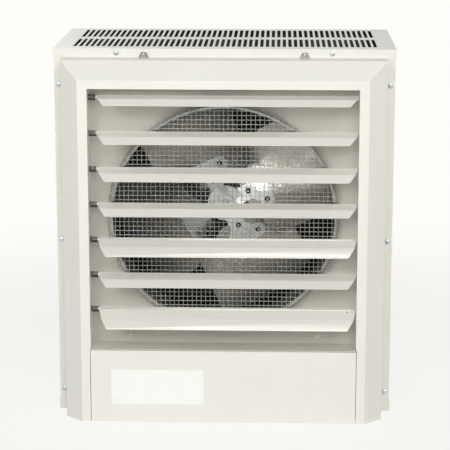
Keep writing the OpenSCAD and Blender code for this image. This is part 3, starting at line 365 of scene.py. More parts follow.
def makeSpangleGroup():
    group, given, out = newGroup("zincSpangle", [
        ("Vector", "NodeSocketVector", None), ("Colour", "NodeSocketColor", (0.6, 0.62, 0.64, 1)),
        ("Size", "NodeSocketFloat", 120.0), ("Contrast", "NodeSocketFloat", 0.3),
        ("Height", "NodeSocketFloat", 0.00001), ("Roughness", "NodeSocketFloat", 0.38)],
        [("Colour", "NodeSocketColor"), ("Roughness", "NodeSocketFloat"), ("Normal", "NodeSocketVector")])
    vector, colour = given.outputs["Vector"], given.outputs["Colour"]
    cells = group.nodes.new("ShaderNodeTexVoronoi")
    group.links.new(vector, cells.inputs["Vector"])
    group.links.new(given.outputs["Size"], cells.inputs["Scale"])
    split = group.nodes.new("ShaderNodeSeparateColor")
    group.links.new(cells.outputs["Color"], split.inputs[0])
    grain = noise(group, vector, spangle["grainScale"], spangle["grainDetail"])
    contrast = spread(group, split.outputs[0], 0.0, 1.0, 0.0, given.outputs["Contrast"])
    dark = mixColour(group, 1.0, colour, spangle["darkTint"], "MULTIPLY")
    group.links.new(mixColour(group, contrast, colour, dark), out.inputs["Colour"])
    rougher = maths(group, "ADD", spread(group, split.outputs[1], *spangle["rougherFlowers"]),
                    spread(group, grain, *spangle["rougherGrain"]))
    group.links.new(maths(group, "ADD", given.outputs["Roughness"], rougher), out.inputs["Roughness"])
    height = maths(group, "ADD", maths(group, "MULTIPLY", split.outputs[2], spangle["flowerShare"]),
                   maths(group, "MULTIPLY", grain, spangle["grainShare"]))
    raised = bump(group, height, spangle["strength"], given.outputs["Height"])
    group.links.new(raised, out.inputs["Normal"])
    return group


# moulded plastic and rubber: fine grain, faint handling marks
moulding = {
    "grainDetail": 2.0,
    "grainStrength": 0.5,
    "markScale": 60.0,
    "markDetail": 4.0,
    "markRough": 0.65,
    "paleShare": 0.12,
    "paleColour": (0.55, 0.53, 0.5, 1),
    "marked": (0.45, 0.8, 0.0, 0.6),
    "rougher": (0.3, 0.7, -0.06, 0.1),
}


def makeMouldedGroup():
    group, given, out = newGroup("mouldedGrain", [
        ("Vector", "NodeSocketVector", None), ("Colour", "NodeSocketColor", (0.1, 0.1, 0.1, 1)),
        ("Grain Scale", "NodeSocketFloat", 1500.0), ("Grain Height", "NodeSocketFloat", 0.00002),
        ("Roughness", "NodeSocketFloat", 0.45)],
        [("Colour", "NodeSocketColor"), ("Roughness", "NodeSocketFloat"), ("Normal", "NodeSocketVector")])
    vector, colour = given.outputs["Vector"], given.outputs["Colour"]
    grain = noise(group, vector, given.outputs["Grain Scale"], moulding["grainDetail"])
    marks = noise(group, vector, moulding["markScale"], moulding["markDetail"], moulding["markRough"])
    pale = mixColour(group, moulding["paleShare"], colour, moulding["paleColour"])
    marked = spread(group, marks, *moulding["marked"])
    group.links.new(mixColour(group, marked, colour, pale), out.inputs["Colour"])
    rougher = spread(group, marks, *moulding["rougher"])
    group.links.new(maths(group, "ADD", given.outputs["Roughness"], rougher), out.inputs["Roughness"])
    grained = bump(group, grain, moulding["grainStrength"], given.outputs["Grain Height"])
    group.links.new(grained, out.inputs["Normal"])
    return group


# inside the cabinet: painted shade, a near black with lighter cloudy patches, laid over the paint within a
# box
paintedInsideShade = {
    "facingFront": -0.3,        # a face whose normal has a lower Y looks to the front
    "cloudScale": 22.0,
    "cloudDetail": 4.0,
    "cloudRough": 0.6,
    "shadePatchShare": 0.35,          # how much of the paint's own colour a lighter patch of the painted shade shows
    "shadePatches": (0.45, 0.8, 0.0, 0.5),
    "rougher": (0.3, 0.7, 0.22, 0.34),
}


def makeInsideGroup():
    group, given, out = newGroup("insidePaintedShade", [
        ("Vector", "NodeSocketVector", None), ("Colour", "NodeSocketColor", (0.8, 0.8, 0.8, 1)),
        ("Roughness", "NodeSocketFloat", 0.35), ("Dark", "NodeSocketColor", (0.03, 0.028, 0.026, 1)),
        ("Low", "NodeSocketVector", None), ("High", "NodeSocketVector", None),
        ("Front Faces Only", "NodeSocketFloat", 0.0)],
        [("Colour", "NodeSocketColor"), ("Roughness", "NodeSocketFloat")])
    colour, dark = given.outputs["Colour"], given.outputs["Dark"]
    places, lows, highs = (splitVector(group, given.outputs[label]) for label in ("Vector", "Low", "High"))
    toFront = maths(group, "LESS_THAN", facing(group, "Y"), paintedInsideShade["facingFront"])
    anySide = maths(group, "SUBTRACT", 1.0, given.outputs["Front Faces Only"])
    share = maths(group, "MAXIMUM", toFront, anySide)
    for axis in "XYZ":
        share = maths(group, "MULTIPLY", share, maths(group, "GREATER_THAN", places[axis], lows[axis]))
        share = maths(group, "MULTIPLY", share, maths(group, "LESS_THAN", places[axis], highs[axis]))
    clouds = noise(group, given.outputs["Vector"], paintedInsideShade["cloudScale"], paintedInsideShade["cloudDetail"],
                   paintedInsideShade["cloudRough"])
    # painted shade: inside the box the paint turns to the near black, patched lighter by clouds
    lighter = mixColour(group, paintedInsideShade["shadePatchShare"], dark, colour)
    darkened = mixColour(group, spread(group, clouds, *paintedInsideShade["shadePatches"]), dark, lighter)
    group.links.new(mixColour(group, share, colour, darkened), out.inputs["Colour"])
    matt = maths(group, "MULTIPLY", share, spread(group, clouds, *paintedInsideShade["rougher"]))
    group.links.new(maths(group, "ADD", given.outputs["Roughness"], matt), out.inputs["Roughness"])
    return group


paintGroup = makePaintGroup()
metalGroup = makeMetalGroup()
spangleGroup = makeSpangleGroup()
mouldedGroup = makeMouldedGroup()
insideGroup = makeInsideGroup()
print("heater: shader groups are made")


# materials
def setValues(look, values):
    for label, value in values.items():
        look.inputs[label].default_value = value


def finishWith(name, group, values, metallic=0.0, coat=0.0, coatRough=0.2, inside=None):
    mat = bpy.data.materials.new(name)
    mat.use_nodes = True
    tree = mat.node_tree
    tree.nodes.clear()
    out = tree.nodes.new("ShaderNodeOutputMaterial")
    skin = tree.nodes.new("ShaderNodeBsdfPrincipled")
    skin.inputs["Metallic"].default_value = metallic
    skin.inputs["Coat Weight"].default_value = coat
    skin.inputs["Coat Roughness"].default_value = coatRough
    tree.links.new(skin.outputs[0], out.inputs[0])
    look = tree.nodes.new("ShaderNodeGroup")
    look.node_tree = group
    coords = tree.nodes.new("ShaderNodeTexCoord")
    tree.links.new(coords.outputs["Object"], look.inputs["Vector"])
    setValues(look, values)
    tree.links.new(look.outputs["Normal"], skin.inputs["Normal"])
    last = look
    if inside:
        last = tree.nodes.new("ShaderNodeGroup")
        last.node_tree = insideGroup
        setValues(last, inside)
        tree.links.new(coords.outputs["Object"], last.inputs["Vector"])
        tree.links.new(look.outputs["Colour"], last.inputs["Colour"])
        tree.links.new(look.outputs["Roughness"], last.inputs["Roughness"])
    tree.links.new(last.outputs["Colour"], skin.inputs["Base Color"])
    tree.links.new(last.outputs["Roughness"], skin.inputs["Roughness"])
    return mat


enamel = {"Colour": sRgb(237, 236, 229), "Mottle": 0.10, "Peel Scale": 420.0, "Peel Height": 0.00003,
          "Roughness": 0.36, "Dust": 0.10}
# painted shade: a darker copy of the enamel for the recess's plate and floor and the fan shroud
recessShadeEnamel = dict(enamel, Colour=sRgb(208, 206, 197))
clearCoat = {"coat": 0.25, "coatRough": 0.25}
# painted shade inside the cabinet: this near black, laid over the enamel within the boxes below
insideShadeTone = sRgb(52, 50, 48)
halfSheet = 0.0006
pastAll = 1.0           # a place, in metres, that is past all of the cabinet
sideLow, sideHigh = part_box("side_panel_right")
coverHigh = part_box("top_cover")[1]
wallX = sideHigh[0] - halfSheet
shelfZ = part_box("control_shelf")[0][2] + halfSheet    # the compartment under the shelf gets no painted shade
insideHigh = (wallX, coverHigh[1] - halfSheet, coverHigh[2] - halfSheet)
shellLow = (-wallX, sideLow[1] + halfSheet, shelfZ)
recessLow = (-wallX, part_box("orifice_plate")[0][1] + halfSheet, shelfZ)
finishes = {
    "enamel": finishWith("warmWhiteEnamel", paintGroup, enamel, **clearCoat),
    # these three enamels wear painted shade on their insides
    "enamelShell": finishWith("enamelShadeInside", paintGroup, enamel, **clearCoat, inside={
        "Dark": insideShadeTone, "Low": shellLow, "High": insideHigh}),
    "enamelRecess": finishWith("enamelShadeBehind", paintGroup, recessShadeEnamel, **clearCoat, inside={
        "Dark": insideShadeTone, "Low": recessLow, "High": insideHigh}),
    "enamelBack": finishWith("enamelShadeFront", paintGroup, enamel, **clearCoat, inside={
        "Dark": insideShadeTone, "Low": shellLow, "High": (wallX, pastAll, pastAll), "Front Faces Only": 1.0}),
    "zinc": finishWith("brightZinc", metalGroup, {
        "Colour": sRgb(212, 214, 216), "Stain": sRgb(150, 152, 158), "Stain Share": 0.5,
        "Streaks": (900, 900, 900), "Roughness": 0.26}, metallic=1.0),
    "dullZinc": finishWith("dullZinc", metalGroup, {
        "Colour": sRgb(168, 168, 166), "Stain": sRgb(96, 95, 92), "Stain Share": 0.6,
        "Streaks": (300, 900, 300), "Roughness": 0.34}, metallic=1.0),
    "paleZinc": finishWith("paleZinc", metalGroup, {
        "Colour": sRgb(186, 186, 182), "Stain": sRgb(132, 131, 127), "Stain Share": 0.4,
        "Streaks": (300, 300, 300), "Roughness": 0.34}, metallic=0.6),
    "galvanised": finishWith("galvanisedSteel", spangleGroup, {
        "Colour": sRgb(196, 198, 196), "Size": 90.0, "Contrast": 0.35, "Roughness": 0.40}, metallic=1.0),
    "label_vinyl": finishWith("labelVinyl", mouldedGroup, {
        "Colour": sRgb(250, 250, 248), "Grain Scale": 900.0, "Grain Height": 0.000004,
        "Roughness": 0.16}, coat=0.6, coatRough=0.05),
    "spring_steel": finishWith("blackSpringSteel", metalGroup, {
        "Colour": sRgb(20, 19, 18), "Stain": sRgb(44, 38, 34), "Stain Share": 0.4,
        "Streaks": (60, 900, 900), "Roughness": 0.62}, metallic=0.1),
    "fan_aluminium": finishWith("millAluminium", metalGroup, {
        "Colour": sRgb(172, 169, 162), "Stain": sRgb(124, 119, 110), "Stain Share": 0.35,
        "Streaks": (14, 500, 500), "Streak Height": 0.000006, "Roughness": 0.27}, metallic=1.0),
    "fan_steel": finishWith("platedFanSteel", spangleGroup, {
        "Colour": sRgb(222, 223, 222), "Size": 60.0, "Contrast": 0.10, "Height": 0.000001,
        "Roughness": 0.30}, metallic=1.0),
    "black_oxide": finishWith("blackOxide", metalGroup, {
        "Colour": sRgb(38, 35, 33), "Stain": sRgb(66, 54, 46), "Stain Share": 0.35,
        "Streaks": (500, 500, 500), "Roughness": 0.42}, metallic=0.7),
    "bright_steel": finishWith("turnedSteel", metalGroup, {
        "Colour": sRgb(202, 202, 204), "Stain": sRgb(136, 132, 126), "Stain Share": 0.3,
        "Streaks": (80, 1600, 80), "Streak Height": 0.000006, "Roughness": 0.24}, metallic=1.0),
    "motor_paint": finishWith("motorPaint", paintGroup, {
        "Colour": sRgb(96, 110, 122), "Mottle": 0.4, "Peel Scale": 700.0, "Peel Height": 0.00004,
        "Roughness": 0.34, "Dust": 0.35}, coat=0.3, coatRough=0.2),
    "black_rubber": finishWith("blackRubber", mouldedGroup, {
        "Colour": sRgb(30, 30, 31), "Grain Scale": 2200.0, "Grain Height": 0.00003, "Roughness": 0.62}),
    "element_steel": finishWith("heatTintedSteel", metalGroup, {
        "Colour": sRgb(150, 138, 126), "Stain": sRgb(98, 76, 60), "Stain Share": 0.8,
        "Streaks": (160, 160, 160), "Roughness": 0.40}, metallic=1.0),
    "brass": finishWith("brassFittings", metalGroup, {
        "Colour": sRgb(206, 174, 108), "Stain": sRgb(140, 108, 62), "Stain Share": 0.45,
        "Streaks": (400, 400, 400), "Roughness": 0.28}, metallic=1.0),
    "black_plastic": finishWith("blackMoulding", mouldedGroup, {
        "Colour": sRgb(40, 41, 43), "Grain Scale": 1600.0, "Grain Height": 0.00002, "Roughness": 0.42}),
    "clear_grey_plastic": finishWith("smokyMoulding", mouldedGroup, {
        "Colour": sRgb(128, 134, 138), "Grain Scale": 800.0, "Grain Height": 0.000004,
        "Roughness": 0.14}, coat=0.4, coatRough=0.08),
}
finishOf = {
    "top_clips": "dullZinc", "guard_ring": "dullZinc", "guard_mesh": "paleZinc",
    "side_panel_left": "enamelShell", "side_panel_right": "enamelShell", "top_cover": "enamelShell",
    "bottom_pan": "enamelShell", "front_header": "enamelShell", "orifice_plate": "enamelRecess",
    "fan_shroud": "enamelRecess", "control_shelf": "enamelRecess", "back_panel": "enamelBack",
}
slotOf = {part["node"]: part["material_slot"] for part in frame["record"]["subparts"]}
for name, obj in nodes.items():
    obj.data.materials.clear()
    obj.data.materials.append(finishes[finishOf.get(name, slotOf[name])])
print("heater: materials are on every node")


# helpers for the pieces
def pick(obj):
    bpy.ops.object.select_all(action="DESELECT")
    obj.select_set(True)
    bpy.context.view_layer.objects.active = obj


def applyModifier(obj, kind, **settings):
    modifier = obj.modifiers.new(kind.lower(), kind)
    for key, value in settings.items():
        setattr(modifier, key, value)
    pick(obj)
    bpy.ops.object.modifier_apply(modifier=modifier.name)


def settle(obj):
    pick(obj)
    bpy.ops.object.transform_apply(location=True, rotation=True, scale=True)


def smoothUp(obj, degrees=38):
    pick(obj)
    bpy.ops.object.shade_smooth_by_angle(angle=math.radians(degrees))
    applyModifier(obj, "WEIGHTED_NORMAL", keep_sharp=True, weight=faceWeight)


def bevelEdges(obj, width, steps, degrees):
    applyModifier(obj, "BEVEL", width=width, segments=steps, limit_method="ANGLE",
                  angle_limit=math.radians(degrees), use_clamp_overlap=True)


def bodyOf(node):
    return nodes[node]["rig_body"]


def dress(piece, name, finish, body):
    piece.name = name
    piece.data.name = name
    piece.data.materials.clear()
    piece.data.materials.append(finishes[finish])
    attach(piece, body)


# a finished piece stands for a CAD node, rides on its body and wears its finish
def take(piece, name, node):
    dress(piece, name, finishOf.get(node, slotOf[node]), bodyOf(node))
    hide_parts(node)


def newPiece(name, mesh):
    piece = bpy.data.objects.new(name, mesh)
    bpy.context.scene.collection.objects.link(piece)
    return piece


def editing(piece, on):
    if on:
        pick(piece)
    bpy.ops.object.mode_set(mode="EDIT" if on else "OBJECT")


def selectWhere(piece, test):
    mesh = bmesh.from_edit_mesh(piece.data)
    mesh.select_mode = {"VERT"}
    for vertex in mesh.verts:
        vertex.select = bool(test(vertex.co))
    mesh.select_flush_mode()
    bmesh.update_edit_mesh(piece.data)


def joined(pieces):
    pick(pieces[0])
    for other in pieces[1:]:
        other.select_set(True)
    if len(pieces) > 1:
        bpy.ops.object.join()
    return bpy.context.object


def cutWith(piece, cutter):
    applyModifier(piece, "BOOLEAN", object=cutter, operation="DIFFERENCE", solver="EXACT")
    bpy.data.objects.remove(cutter, do_unlink=True)


# the boxes of a node's separate solids, in metres, from left to right and then upwards
def solidBoxes(node):
    mesh = bmesh.new()
    mesh.from_mesh(nodes[node].data)
    bmesh.ops.remove_doubles(mesh, verts=mesh.verts[:], dist=mergeGap)
    left = set(mesh.verts)
    boxes = []
    while left:
        start = left.pop()
        heap, found = [start], [start.co]
        while heap:
            for edge in heap.pop().link_edges:
                for vertex in edge.verts:
                    if vertex in left:
                        left.discard(vertex)
                        heap.append(vertex)
                        found.append(vertex.co)
        boxes.append((Vector(min(c[i] for c in found) for i in range(3)),
                      Vector(max(c[i] for c in found) for i in range(3))))
    mesh.free()
    return sorted(boxes, key=lambda box: (round(box[0].x, sortDigits), round(box[0].z, sortDigits)))


# a copy of a node's mesh, with its loose triangles merged into whole faces
def mergedCopy(node, name):
    piece = newPiece(name, nodes[node].data.copy())
    editing(piece, True)
    bpy.ops.mesh.select_all(action="SELECT")
    bpy.ops.mesh.remove_doubles(threshold=mergeGap)
    bpy.ops.mesh.dissolve_limited(angle_limit=math.radians(flatAngle))
    editing(piece, False)
    return piece


# the small radius that bent, cut and moulded edges have
edgeRound = {"steps": 2, "angle": 30}


def easedCopy(node, name, radius):
    piece = mergedCopy(node, name)
    bevelEdges(piece, radius, edgeRound["steps"], edgeRound["angle"])
    smoothUp(piece)
    take(piece, name, node)


# bent sheet metal and the blank label, each node with its edge radius in metres
sheetEdges = {
    "side_panel_left": 0.00045, "side_panel_right": 0.00045, "bottom_pan": 0.00045,
    "top_cover": 0.0004, "back_panel": 0.0003, "front_header": 0.0004, "front_frame": 0.0005,
    "control_shelf": 0.0004, "access_door": 0.0005, "orifice_plate": 0.0004,
    "fan_shroud": 0.0004, "door_catches": 0.0003, "motor_bracket": 0.0008,
    "element_supports": 0.0004, "door_label": 0.0001,
}
for node, radius in sheetEdges.items():
    easedCopy(node, node + "_eased", radius)
print("heater: sheet metal is eased")


# louvers: a rolled rear edge, a flat rear part and a front part bent down, cut back at both ends
louver = {
    "slopes": (2, 6.5, 8.5, 6, 16.5, 6, 23),    # degrees that each one hangs by, from the first on
    "rearDepth": 0.025,
    "frontDepth": 0.017,
    "bend": 22.0,
    "sheet": 0.0008,
    "rollRadius": 0.0026,
    "rollTurn": 305.0,
    "rollSteps": 14,
    "crease": 0.0018,
    "creaseSteps": 3,
    "creaseCut": 0.0042,    # how far the ends are cut back at the crease and at the front edge
    "endCut": 0.0128,
    "cornerRadius": 0.0018,
    "cornerSteps": 4,
    "edge": 0.00014,
    "edgeSteps": 2,
    "edgeAngle": 50,
    "smoothAngle": 32,
    "holed": (5, 7),
    "holeIn": 0.0124,       # how far the hole stands in from the right end and ahead of the pins
    "holeAhead": 0.0062,
    "holeZ": 0.002,         # where the middle of its cutter stands
    "holeRadius": 0.0017,
    "holeDepth": 0.01,
    "holeSides": 20,
}


def makeLouver(left, right):
    bend = math.radians(louver["bend"])
    rear, front, roll = louver["rearDepth"], louver["frontDepth"], louver["rollRadius"]
    tip = rear + front * math.cos(bend)
    bpy.ops.mesh.primitive_plane_add(size=1)
    blank = bpy.context.object
    editing(blank, True)
    bpy.ops.mesh.select_all(action="SELECT")
    bpy.ops.transform.resize(value=(right - left, rear, 1))
    bpy.ops.transform.translate(value=((left + right) / 2, -rear / 2, roll))
    selectWhere(blank, lambda co: co.y < -rear + near)
    bpy.ops.mesh.extrude_region_move(TRANSFORM_OT_translate={
        "value": (0, -front * math.cos(bend), -front * math.sin(bend))})
    selectWhere(blank, lambda co: co.y > -near)
    bpy.ops.mesh.spin(steps=louver["rollSteps"], angle=math.radians(louver["rollTurn"]),
                      center=(0, 0, 0), axis=(-1, 0, 0))
    selectWhere(blank, lambda co: abs(co.y + rear) < near and co.z > roll - near)
    bpy.ops.mesh.bevel(offset=louver["crease"], segments=louver["creaseSteps"], affect="EDGES")
    crease, cut = louver["creaseCut"], louver["endCut"] - louver["creaseCut"]
    for side, end in ((-1, left), (1, right)):
        for place, across, along in (((end, -roll, 0), rear - roll, crease),
                                     ((end - side * crease, -rear, 0), tip - rear, cut)):
            bpy.ops.mesh.select_all(action="SELECT")
            bpy.ops.mesh.bisect(plane_co=place, plane_no=Vector((side * across, -along, 0)).normalized(),
                                clear_outer=True)
    selectWhere(blank, lambda co: co.y < -tip + near)
    bpy.ops.mesh.bevel(offset=louver["cornerRadius"], segments=louver["cornerSteps"], affect="VERTICES")
    bpy.ops.mesh.select_all(action="SELECT")
    bpy.ops.mesh.normals_make_consistent(inside=False)
    editing(blank, False)
    flat = min(blank.data.polygons, key=lambda face: abs(face.center.y + rear / 2))
    if flat.normal.z < 0:
        editing(blank, True)
        bpy.ops.mesh.select_all(action="SELECT")
        bpy.ops.mesh.flip_normals()
        editing(blank, False)
    applyModifier(blank, "SOLIDIFY", thickness=louver["sheet"], offset=-1, use_even_offset=True)
    return blank


# the Y and Z of the line that a louver turns about
def pinAxis(k):
    low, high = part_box("louver_%d_pins" % k)
    return (low[1] + high[1]) / 2, (low[2] + high[2]) / 2


def makeLouvers():
    low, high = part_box("louver_1")
    plain = makeLouver(low[0], high[0])
    holed = newPiece("holedLouver", plain.data.copy())
    bpy.ops.mesh.primitive_cylinder_add(
        vertices=louver["holeSides"], radius=louver["holeRadius"], depth=louver["holeDepth"],
        location=(high[0] - louver["holeIn"], -louver["holeAhead"], louver["holeZ"]))
    cutWith(holed, bpy.context.object)
    for blank in (plain, holed):
        bevelEdges(blank, louver["edge"], louver["edgeSteps"], louver["edgeAngle"])
        smoothUp(blank, louver["smoothAngle"])
    for k, slope in enumerate(louver["slopes"], 1):
        node = "louver_%d" % k
        blank = holed if k in louver["holed"] else plain
        piece = newPiece(node + "_blade", blank.data.copy())
        piece.rotation_euler = (math.radians(slope), 0, 0)
        piece.location = (0, *pinAxis(k))
        settle(piece)
        take(piece, piece.name, node)
    for blank in (plain, holed):
        bpy.data.objects.remove(blank, do_unlink=True)


makeLouvers()
print("heater: louvers are made")


# wires, as curves turned into mesh
wireSmoothAngle = 60


def wirePiece(name, runs, look, node):
    curve = bpy.data.curves.new(name, "CURVE")
    curve.dimensions = "3D"
    curve.bevel_depth = look["wire"] / 2
    curve.bevel_resolution = look["rings"]
    curve.use_fill_caps = True
    for run in runs:
        spline = curve.splines.new("POLY")
        spline.points.add(len(run) - 1)
        for point, place in zip(spline.points, run):
            point.co = (*place, 1)
    piece = newPiece(name, curve)
    pick(piece)
    bpy.ops.object.convert(target="MESH")
    piece = bpy.context.object
    smoothUp(piece, wireSmoothAngle)
    take(piece, name, node)


# louver springs: black coils between the jamb and the shoulder of each left pin
spring = {"outer": 0.009, "wire": 0.0009, "rings": 2, "turns": 6, "steps": 20, "endTurns": 0.75}


def springRun(start, end, y, z):
    radius = (spring["outer"] - spring["wire"]) / 2
    count = spring["turns"] * spring["steps"]
    closed = spring["endTurns"] / spring["turns"]
    run = []
    for i in range(count + 1):
        share = i / count
        turn = 2 * math.pi * spring["turns"] * share
        along = min(max((share - closed) / (1 - 2 * closed), 0), 1)
        first = min(share / closed, 1) * spring["wire"]
        last = min((1 - share) / closed, 1) * spring["wire"]
        x = start + first + (end - start - 2 * spring["wire"]) * along + spring["wire"] - last
        run.append((x, y + radius * math.cos(turn), z + radius * math.sin(turn)))
    return run


def makeSprings():
    low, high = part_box("louver_springs")
    start, end = low[0] + spring["wire"] / 2, high[0] - spring["wire"] / 2
    runs = [springRun(start, end, *pinAxis(k)) for k in range(1, len(louver["slopes"]) + 1)]
    wirePiece("louverSprings", runs, spring, "louver_springs")


makeSprings()

# guard cloth: quarter-inch woven wire, dished over the ring, with its ends folded behind it
cloth = {
    "pitch": 0.00635,
    "wire": 0.0008,
    "rings": 1,
    "weaveShare": 0.475,    # how far a wire bows at a crossing, as a share of its thickness
    "setBack": 1.6,         # how far behind the ring's face the cloth lies, in wire thicknesses
    "riseStart": 0.0062,    # how far inside the ring's rim the cloth starts to rise
    "riseRate": 1.6,        # above 1 it lies on the ring before it comes to the rim
    # how far each wire's end runs out from the rim and back from the ring's face, to its curled tip
    "skirt": ((0.0012, 0.0004), (0.0028, 0.0022), (0.0044, 0.0048), (0.0046, 0.0064), (0.0036, 0.0070)),
    # the edge wires, wound round each other: how far out and back they run, and their winding
    "edgeOut": 0.0029,
    "edgeBack": 0.0026,
    "edgeWind": 0.0011,
    "edgeTurns": 132,
    "edgeSteps": 6,
}


def clothRun(index, upright, face, rim, centreZ):
    half, thick = cloth["pitch"] / 2, cloth["wire"]
    at = index * cloth["pitch"]
    reach = math.sqrt(rim ** 2 - at ** 2)
    onRing = face - thick
    inRing = face + thick * cloth["setBack"]
    steps = int(reach / half)
    run = []
    for step in range(-steps, steps + 1):
        along = step * half
        away = math.hypot(at, along)
        rise = min(max((away - rim + cloth["riseStart"]) / cloth["riseStart"] * cloth["riseRate"], 0), 1)
        depth = inRing + (onRing - inRing) * rise
        if step % 2 == 0:
            phase = 1 if (index + step // 2) % 2 == 0 else -1
            depth += phase * (1 if upright else -1) * thick * cloth["weaveShare"]
        run.append((along, depth))
    skirt = [(reach + outward, onRing + back) for outward, back in cloth["skirt"]]
    run = [(-along, depth) for along, depth in reversed(skirt)] + run + skirt
    if upright:
        return [(at, depth, centreZ + along) for along, depth in run]
    return [(along, depth, centreZ + at) for along, depth in run]


def edgeRun(phase, face, rim, centreZ):
    count = cloth["edgeTurns"] * cloth["edgeSteps"]
    run = []
    for step in range(count + 1):
        around = 2 * math.pi * step / count
        wind = 2 * math.pi * step / cloth["edgeSteps"] + phase
        away = rim + cloth["edgeOut"] + cloth["edgeWind"] * math.cos(wind)
        depth = face - cloth["wire"] + cloth["edgeBack"] + cloth["edgeWind"] * math.sin(wind)
        run.append((away * math.cos(around), depth, centreZ + away * math.sin(around)))
    return run


def makeGuardCloth():
    low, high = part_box("guard_ring")
    rim = (high[0] - low[0]) / 2
    centreZ = (low[2] + high[2]) / 2
    count = int((rim - cloth["riseStart"]) / cloth["pitch"])
    runs = [clothRun(index, upright, low[1], rim, centreZ)
            for index in range(-count, count + 1) for upright in (False, True)]
    runs += [edgeRun(phase, low[1], rim, centreZ) for phase in (0, math.pi)]
    wirePiece("guardCloth", runs, cloth, "guard_mesh")


makeGuardCloth()
print("heater: wires are made")


# screws: a domed pan head with a cross recess, one for each solid of a node
screw = {
    "radius": 0.0037,
    "height": 0.0019,
    "sides": 32,
    "smoothAngle": 40,
    # height and radius of each ring, as shares of the head's own
    "ringShares": ((0.32, 1.0), (0.66, 0.9), (0.9, 0.68), (1.0, 0.4)),
    "recessWide": 0.0009,
    "recessLong": 0.0036,
    "recessDeep": 0.0011,
    # how far each head is driven round, in radians: the first one, and each one more than the last
    "turnFirst": 0.35,
    "turnMore": 0.9,
}


def makePanHead():
    height = screw["height"]
    bpy.ops.mesh.primitive_circle_add(vertices=screw["sides"], radius=screw["radius"], fill_type="NGON")
    head = bpy.context.object
    editing(head, True)
    bpy.ops.mesh.select_all(action="SELECT")
    lastHeight, lastShare = 0, 1.0
    for heightShare, radiusShare in screw["ringShares"]:
        bpy.ops.mesh.extrude_region_move(TRANSFORM_OT_translate={
            "value": (0, 0, (heightShare - lastHeight) * height)})
        factor = radiusShare / lastShare
        bpy.ops.transform.resize(value=(factor, factor, 1))
        lastHeight, lastShare = heightShare, radiusShare
    bpy.ops.mesh.select_all(action="SELECT")
    bpy.ops.mesh.normals_make_consistent(inside=False)
    editing(head, False)
    for turn in (0, 90):
        bpy.ops.mesh.primitive_cube_add(size=1, location=(0, 0, height))
        cutter = bpy.context.object
        cutter.scale = (screw["recessLong"], screw["recessWide"], 2 * screw["recessDeep"])
        cutter.rotation_euler = (0, 0, math.radians(turn))
        settle(cutter)
        cutWith(head, cutter)
    smoothUp(head, screw["smoothAngle"])
    return head


# a head drawn facing +Z, copied to the seat of each of a node's solids
def makeScrews(node, turned, forward):
    head = makePanHead()
    pieces = []
    for i, (low, high) in enumerate(solidBoxes(node)):
        middle = (low + high) / 2
        y = low.y + screw["height"] if forward else high.y - screw["height"]
        drive = Matrix.Rotation(screw["turnFirst"] + screw["turnMore"] * i, 4, "Z")
        mesh = head.data.copy()
        mesh.transform(Matrix.Translation((middle.x, y, middle.z)) @ turned @ drive)
        pieces.append(newPiece(node + "_panned", mesh))
    take(joined(pieces), node + "_panned", node)
    bpy.data.objects.remove(head, do_unlink=True)


toFront = Matrix.Rotation(math.radians(90), 4, "X")
toBack = Matrix.Rotation(math.radians(-90), 4, "X")
for node in ("lip_screws", "strip_screws", "plate_screws"):
    makeScrews(node, toFront, True)
makeScrews("back_screws", toBack, False)
print("heater: screws are made")

# seam clips: a bent plate with a tapered back, a hole and two toes
clip = {
    "thick": 0.0011,
    "topShare": 0.55,       # the back's width at its top, as a share of its foot's
    "holeRadius": 0.0014,
    "holeSides": 20,
    "holeDown": 0.36,       # as a share of the clip's height
    # the gap between the toes: its width, its middle and its length, as shares of the foot's
    "gapWidth": 0.34,
    "gapMiddle": 0.16,
    "gapLength": 0.72,
    "cutDepth": 0.01,       # how long the cutters are, so that they pass the plate on both sides
    "edge": 0.0003,
    "edgeSteps": 3,
    "edgeAngle": 50,
}


def makeClips():
    pieces = []
    for low, high in solidBoxes("top_clips"):
        wide, deep, tall = high - low
        x = (low.x + high.x) / 2
        bpy.ops.mesh.primitive_plane_add(size=1)
        piece = bpy.context.object
        editing(piece, True)
        bpy.ops.mesh.select_all(action="SELECT")
        bpy.ops.transform.resize(value=(wide, deep, 1))
        bpy.ops.transform.translate(value=(x, low.y + deep / 2, low.z))
        selectWhere(piece, lambda co: co.y > high.y - near)
        bpy.ops.mesh.extrude_region_move(TRANSFORM_OT_translate={"value": (0, 0, tall)})
        bpy.ops.transform.resize(value=(clip["topShare"], 1, 1), center_override=(x, high.y, high.z))
        bpy.ops.mesh.select_all(action="SELECT")
        bpy.ops.mesh.normals_make_consistent(inside=False)
        editing(piece, False)
        foot = min(piece.data.polygons, key=lambda face: face.center.z)
        applyModifier(piece, "SOLIDIFY", thickness=clip["thick"], offset=1 if foot.normal.z > 0 else -1)
        bpy.ops.mesh.primitive_cylinder_add(
            vertices=clip["holeSides"], radius=clip["holeRadius"], depth=clip["cutDepth"],
            location=(x, high.y, high.z - tall * clip["holeDown"]), rotation=(math.radians(90), 0, 0))
        cutWith(piece, bpy.context.object)
        bpy.ops.mesh.primitive_cube_add(size=1, location=(x, low.y + deep * clip["gapMiddle"], low.z))
        cutter = bpy.context.object
        cutter.scale = (wide * clip["gapWidth"], deep * clip["gapLength"], clip["cutDepth"])
        settle(cutter)
        cutWith(piece, cutter)
        bevelEdges(piece, clip["edge"], clip["edgeSteps"], clip["edgeAngle"])
        smoothUp(piece)
        pieces.append(piece)
    take(joined(pieces), "seamClips", "top_clips")


makeClips()
print("heater: clips are made")

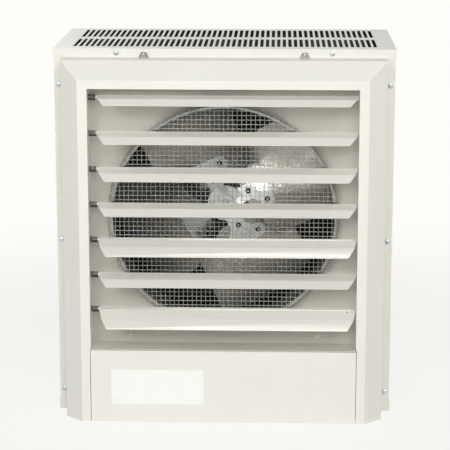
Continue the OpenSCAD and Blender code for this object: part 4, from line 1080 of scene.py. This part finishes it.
# all other parts, each node with its edge radius in metres
partEdges = {
    "fan_blades": 0.0003, "fan_spider": 0.0005, "fan_hub": 0.0005, "fan_rivets": 0.0003,
    "fan_set_screw": 0.0003, "motor_shaft": 0.0006, "motor_housing": 0.0008, "motor_front_bell": 0.0008,
    "motor_rear_bell": 0.0008, "motor_bolts": 0.0004, "bracket_screws": 0.0004, "wall_inserts": 0.0003,
    "guard_ring": 0.0004, "contactor": 0.0008, "terminal_block": 0.0006, "transformer": 0.0008,
    "fan_relay": 0.0010, "earth_lug": 0.0005, "element_nuts": 0.0005, "heat_cutout": 0.0008,
    "conduit_grommet": 0.0004, "door_pins": 0.0003,
}
louverPinEdge = 0.00015
for k in range(1, len(louver["slopes"]) + 1):
    partEdges["louver_%d_pins" % k] = louverPinEdge
for node, radius in partEdges.items():
    easedCopy(node, node + "_finished", radius)
print("heater: all other parts are eased")

# painted highlight: a bright dome on each dark rivet head, for the head's lit centre, one on each
# face that looks to the front and has about the area of the flat on a dark head
rivetHighlight = {
    "radius": 0.0015,
    "height": 0.0007,
    "sides": 16,
    "rings": 8,
    "smoothAngle": 60,
    "headRadius": 0.0021,       # of the flat face that a highlight dome stands on
    "areaSlack": 0.15,          # how far off that face's area may be, as a share of it
    "facingFront": -0.7,        # its normal has a lower Y than this
}


def makeRivetHighlights():
    plain = mergedCopy("fan_rivets", "rivetHeads")
    flatArea = math.pi * rivetHighlight["headRadius"] ** 2
    bpy.ops.mesh.primitive_uv_sphere_add(radius=rivetHighlight["radius"], segments=rivetHighlight["sides"],
                                         ring_count=rivetHighlight["rings"])
    dome = bpy.context.object
    dome.scale = (1, 1, rivetHighlight["height"] / rivetHighlight["radius"])
    settle(dome)
    smoothUp(dome, rivetHighlight["smoothAngle"])
    highlights = []
    for face in plain.data.polygons:
        flat = abs(face.area / flatArea - 1) < rivetHighlight["areaSlack"]
        if flat and face.normal.y < rivetHighlight["facingFront"]:
            mesh = dome.data.copy()
            mesh.transform(Matrix.Translation(face.center)
                           @ face.normal.to_track_quat("Z", "Y").to_matrix().to_4x4())
            highlights.append(newPiece("fanRivetHighlights", mesh))
    for used in (plain, dome):
        bpy.data.objects.remove(used, do_unlink=True)
    dress(joined(highlights), "fanRivetHighlights", "fan_steel", bodyOf("fan_rivets"))
    print("heater: rivet pins", len(highlights))


makeRivetHighlights()


# finish
for obj in bpy.context.scene.objects:
    obj.select_set(False)
print("heater: finished")
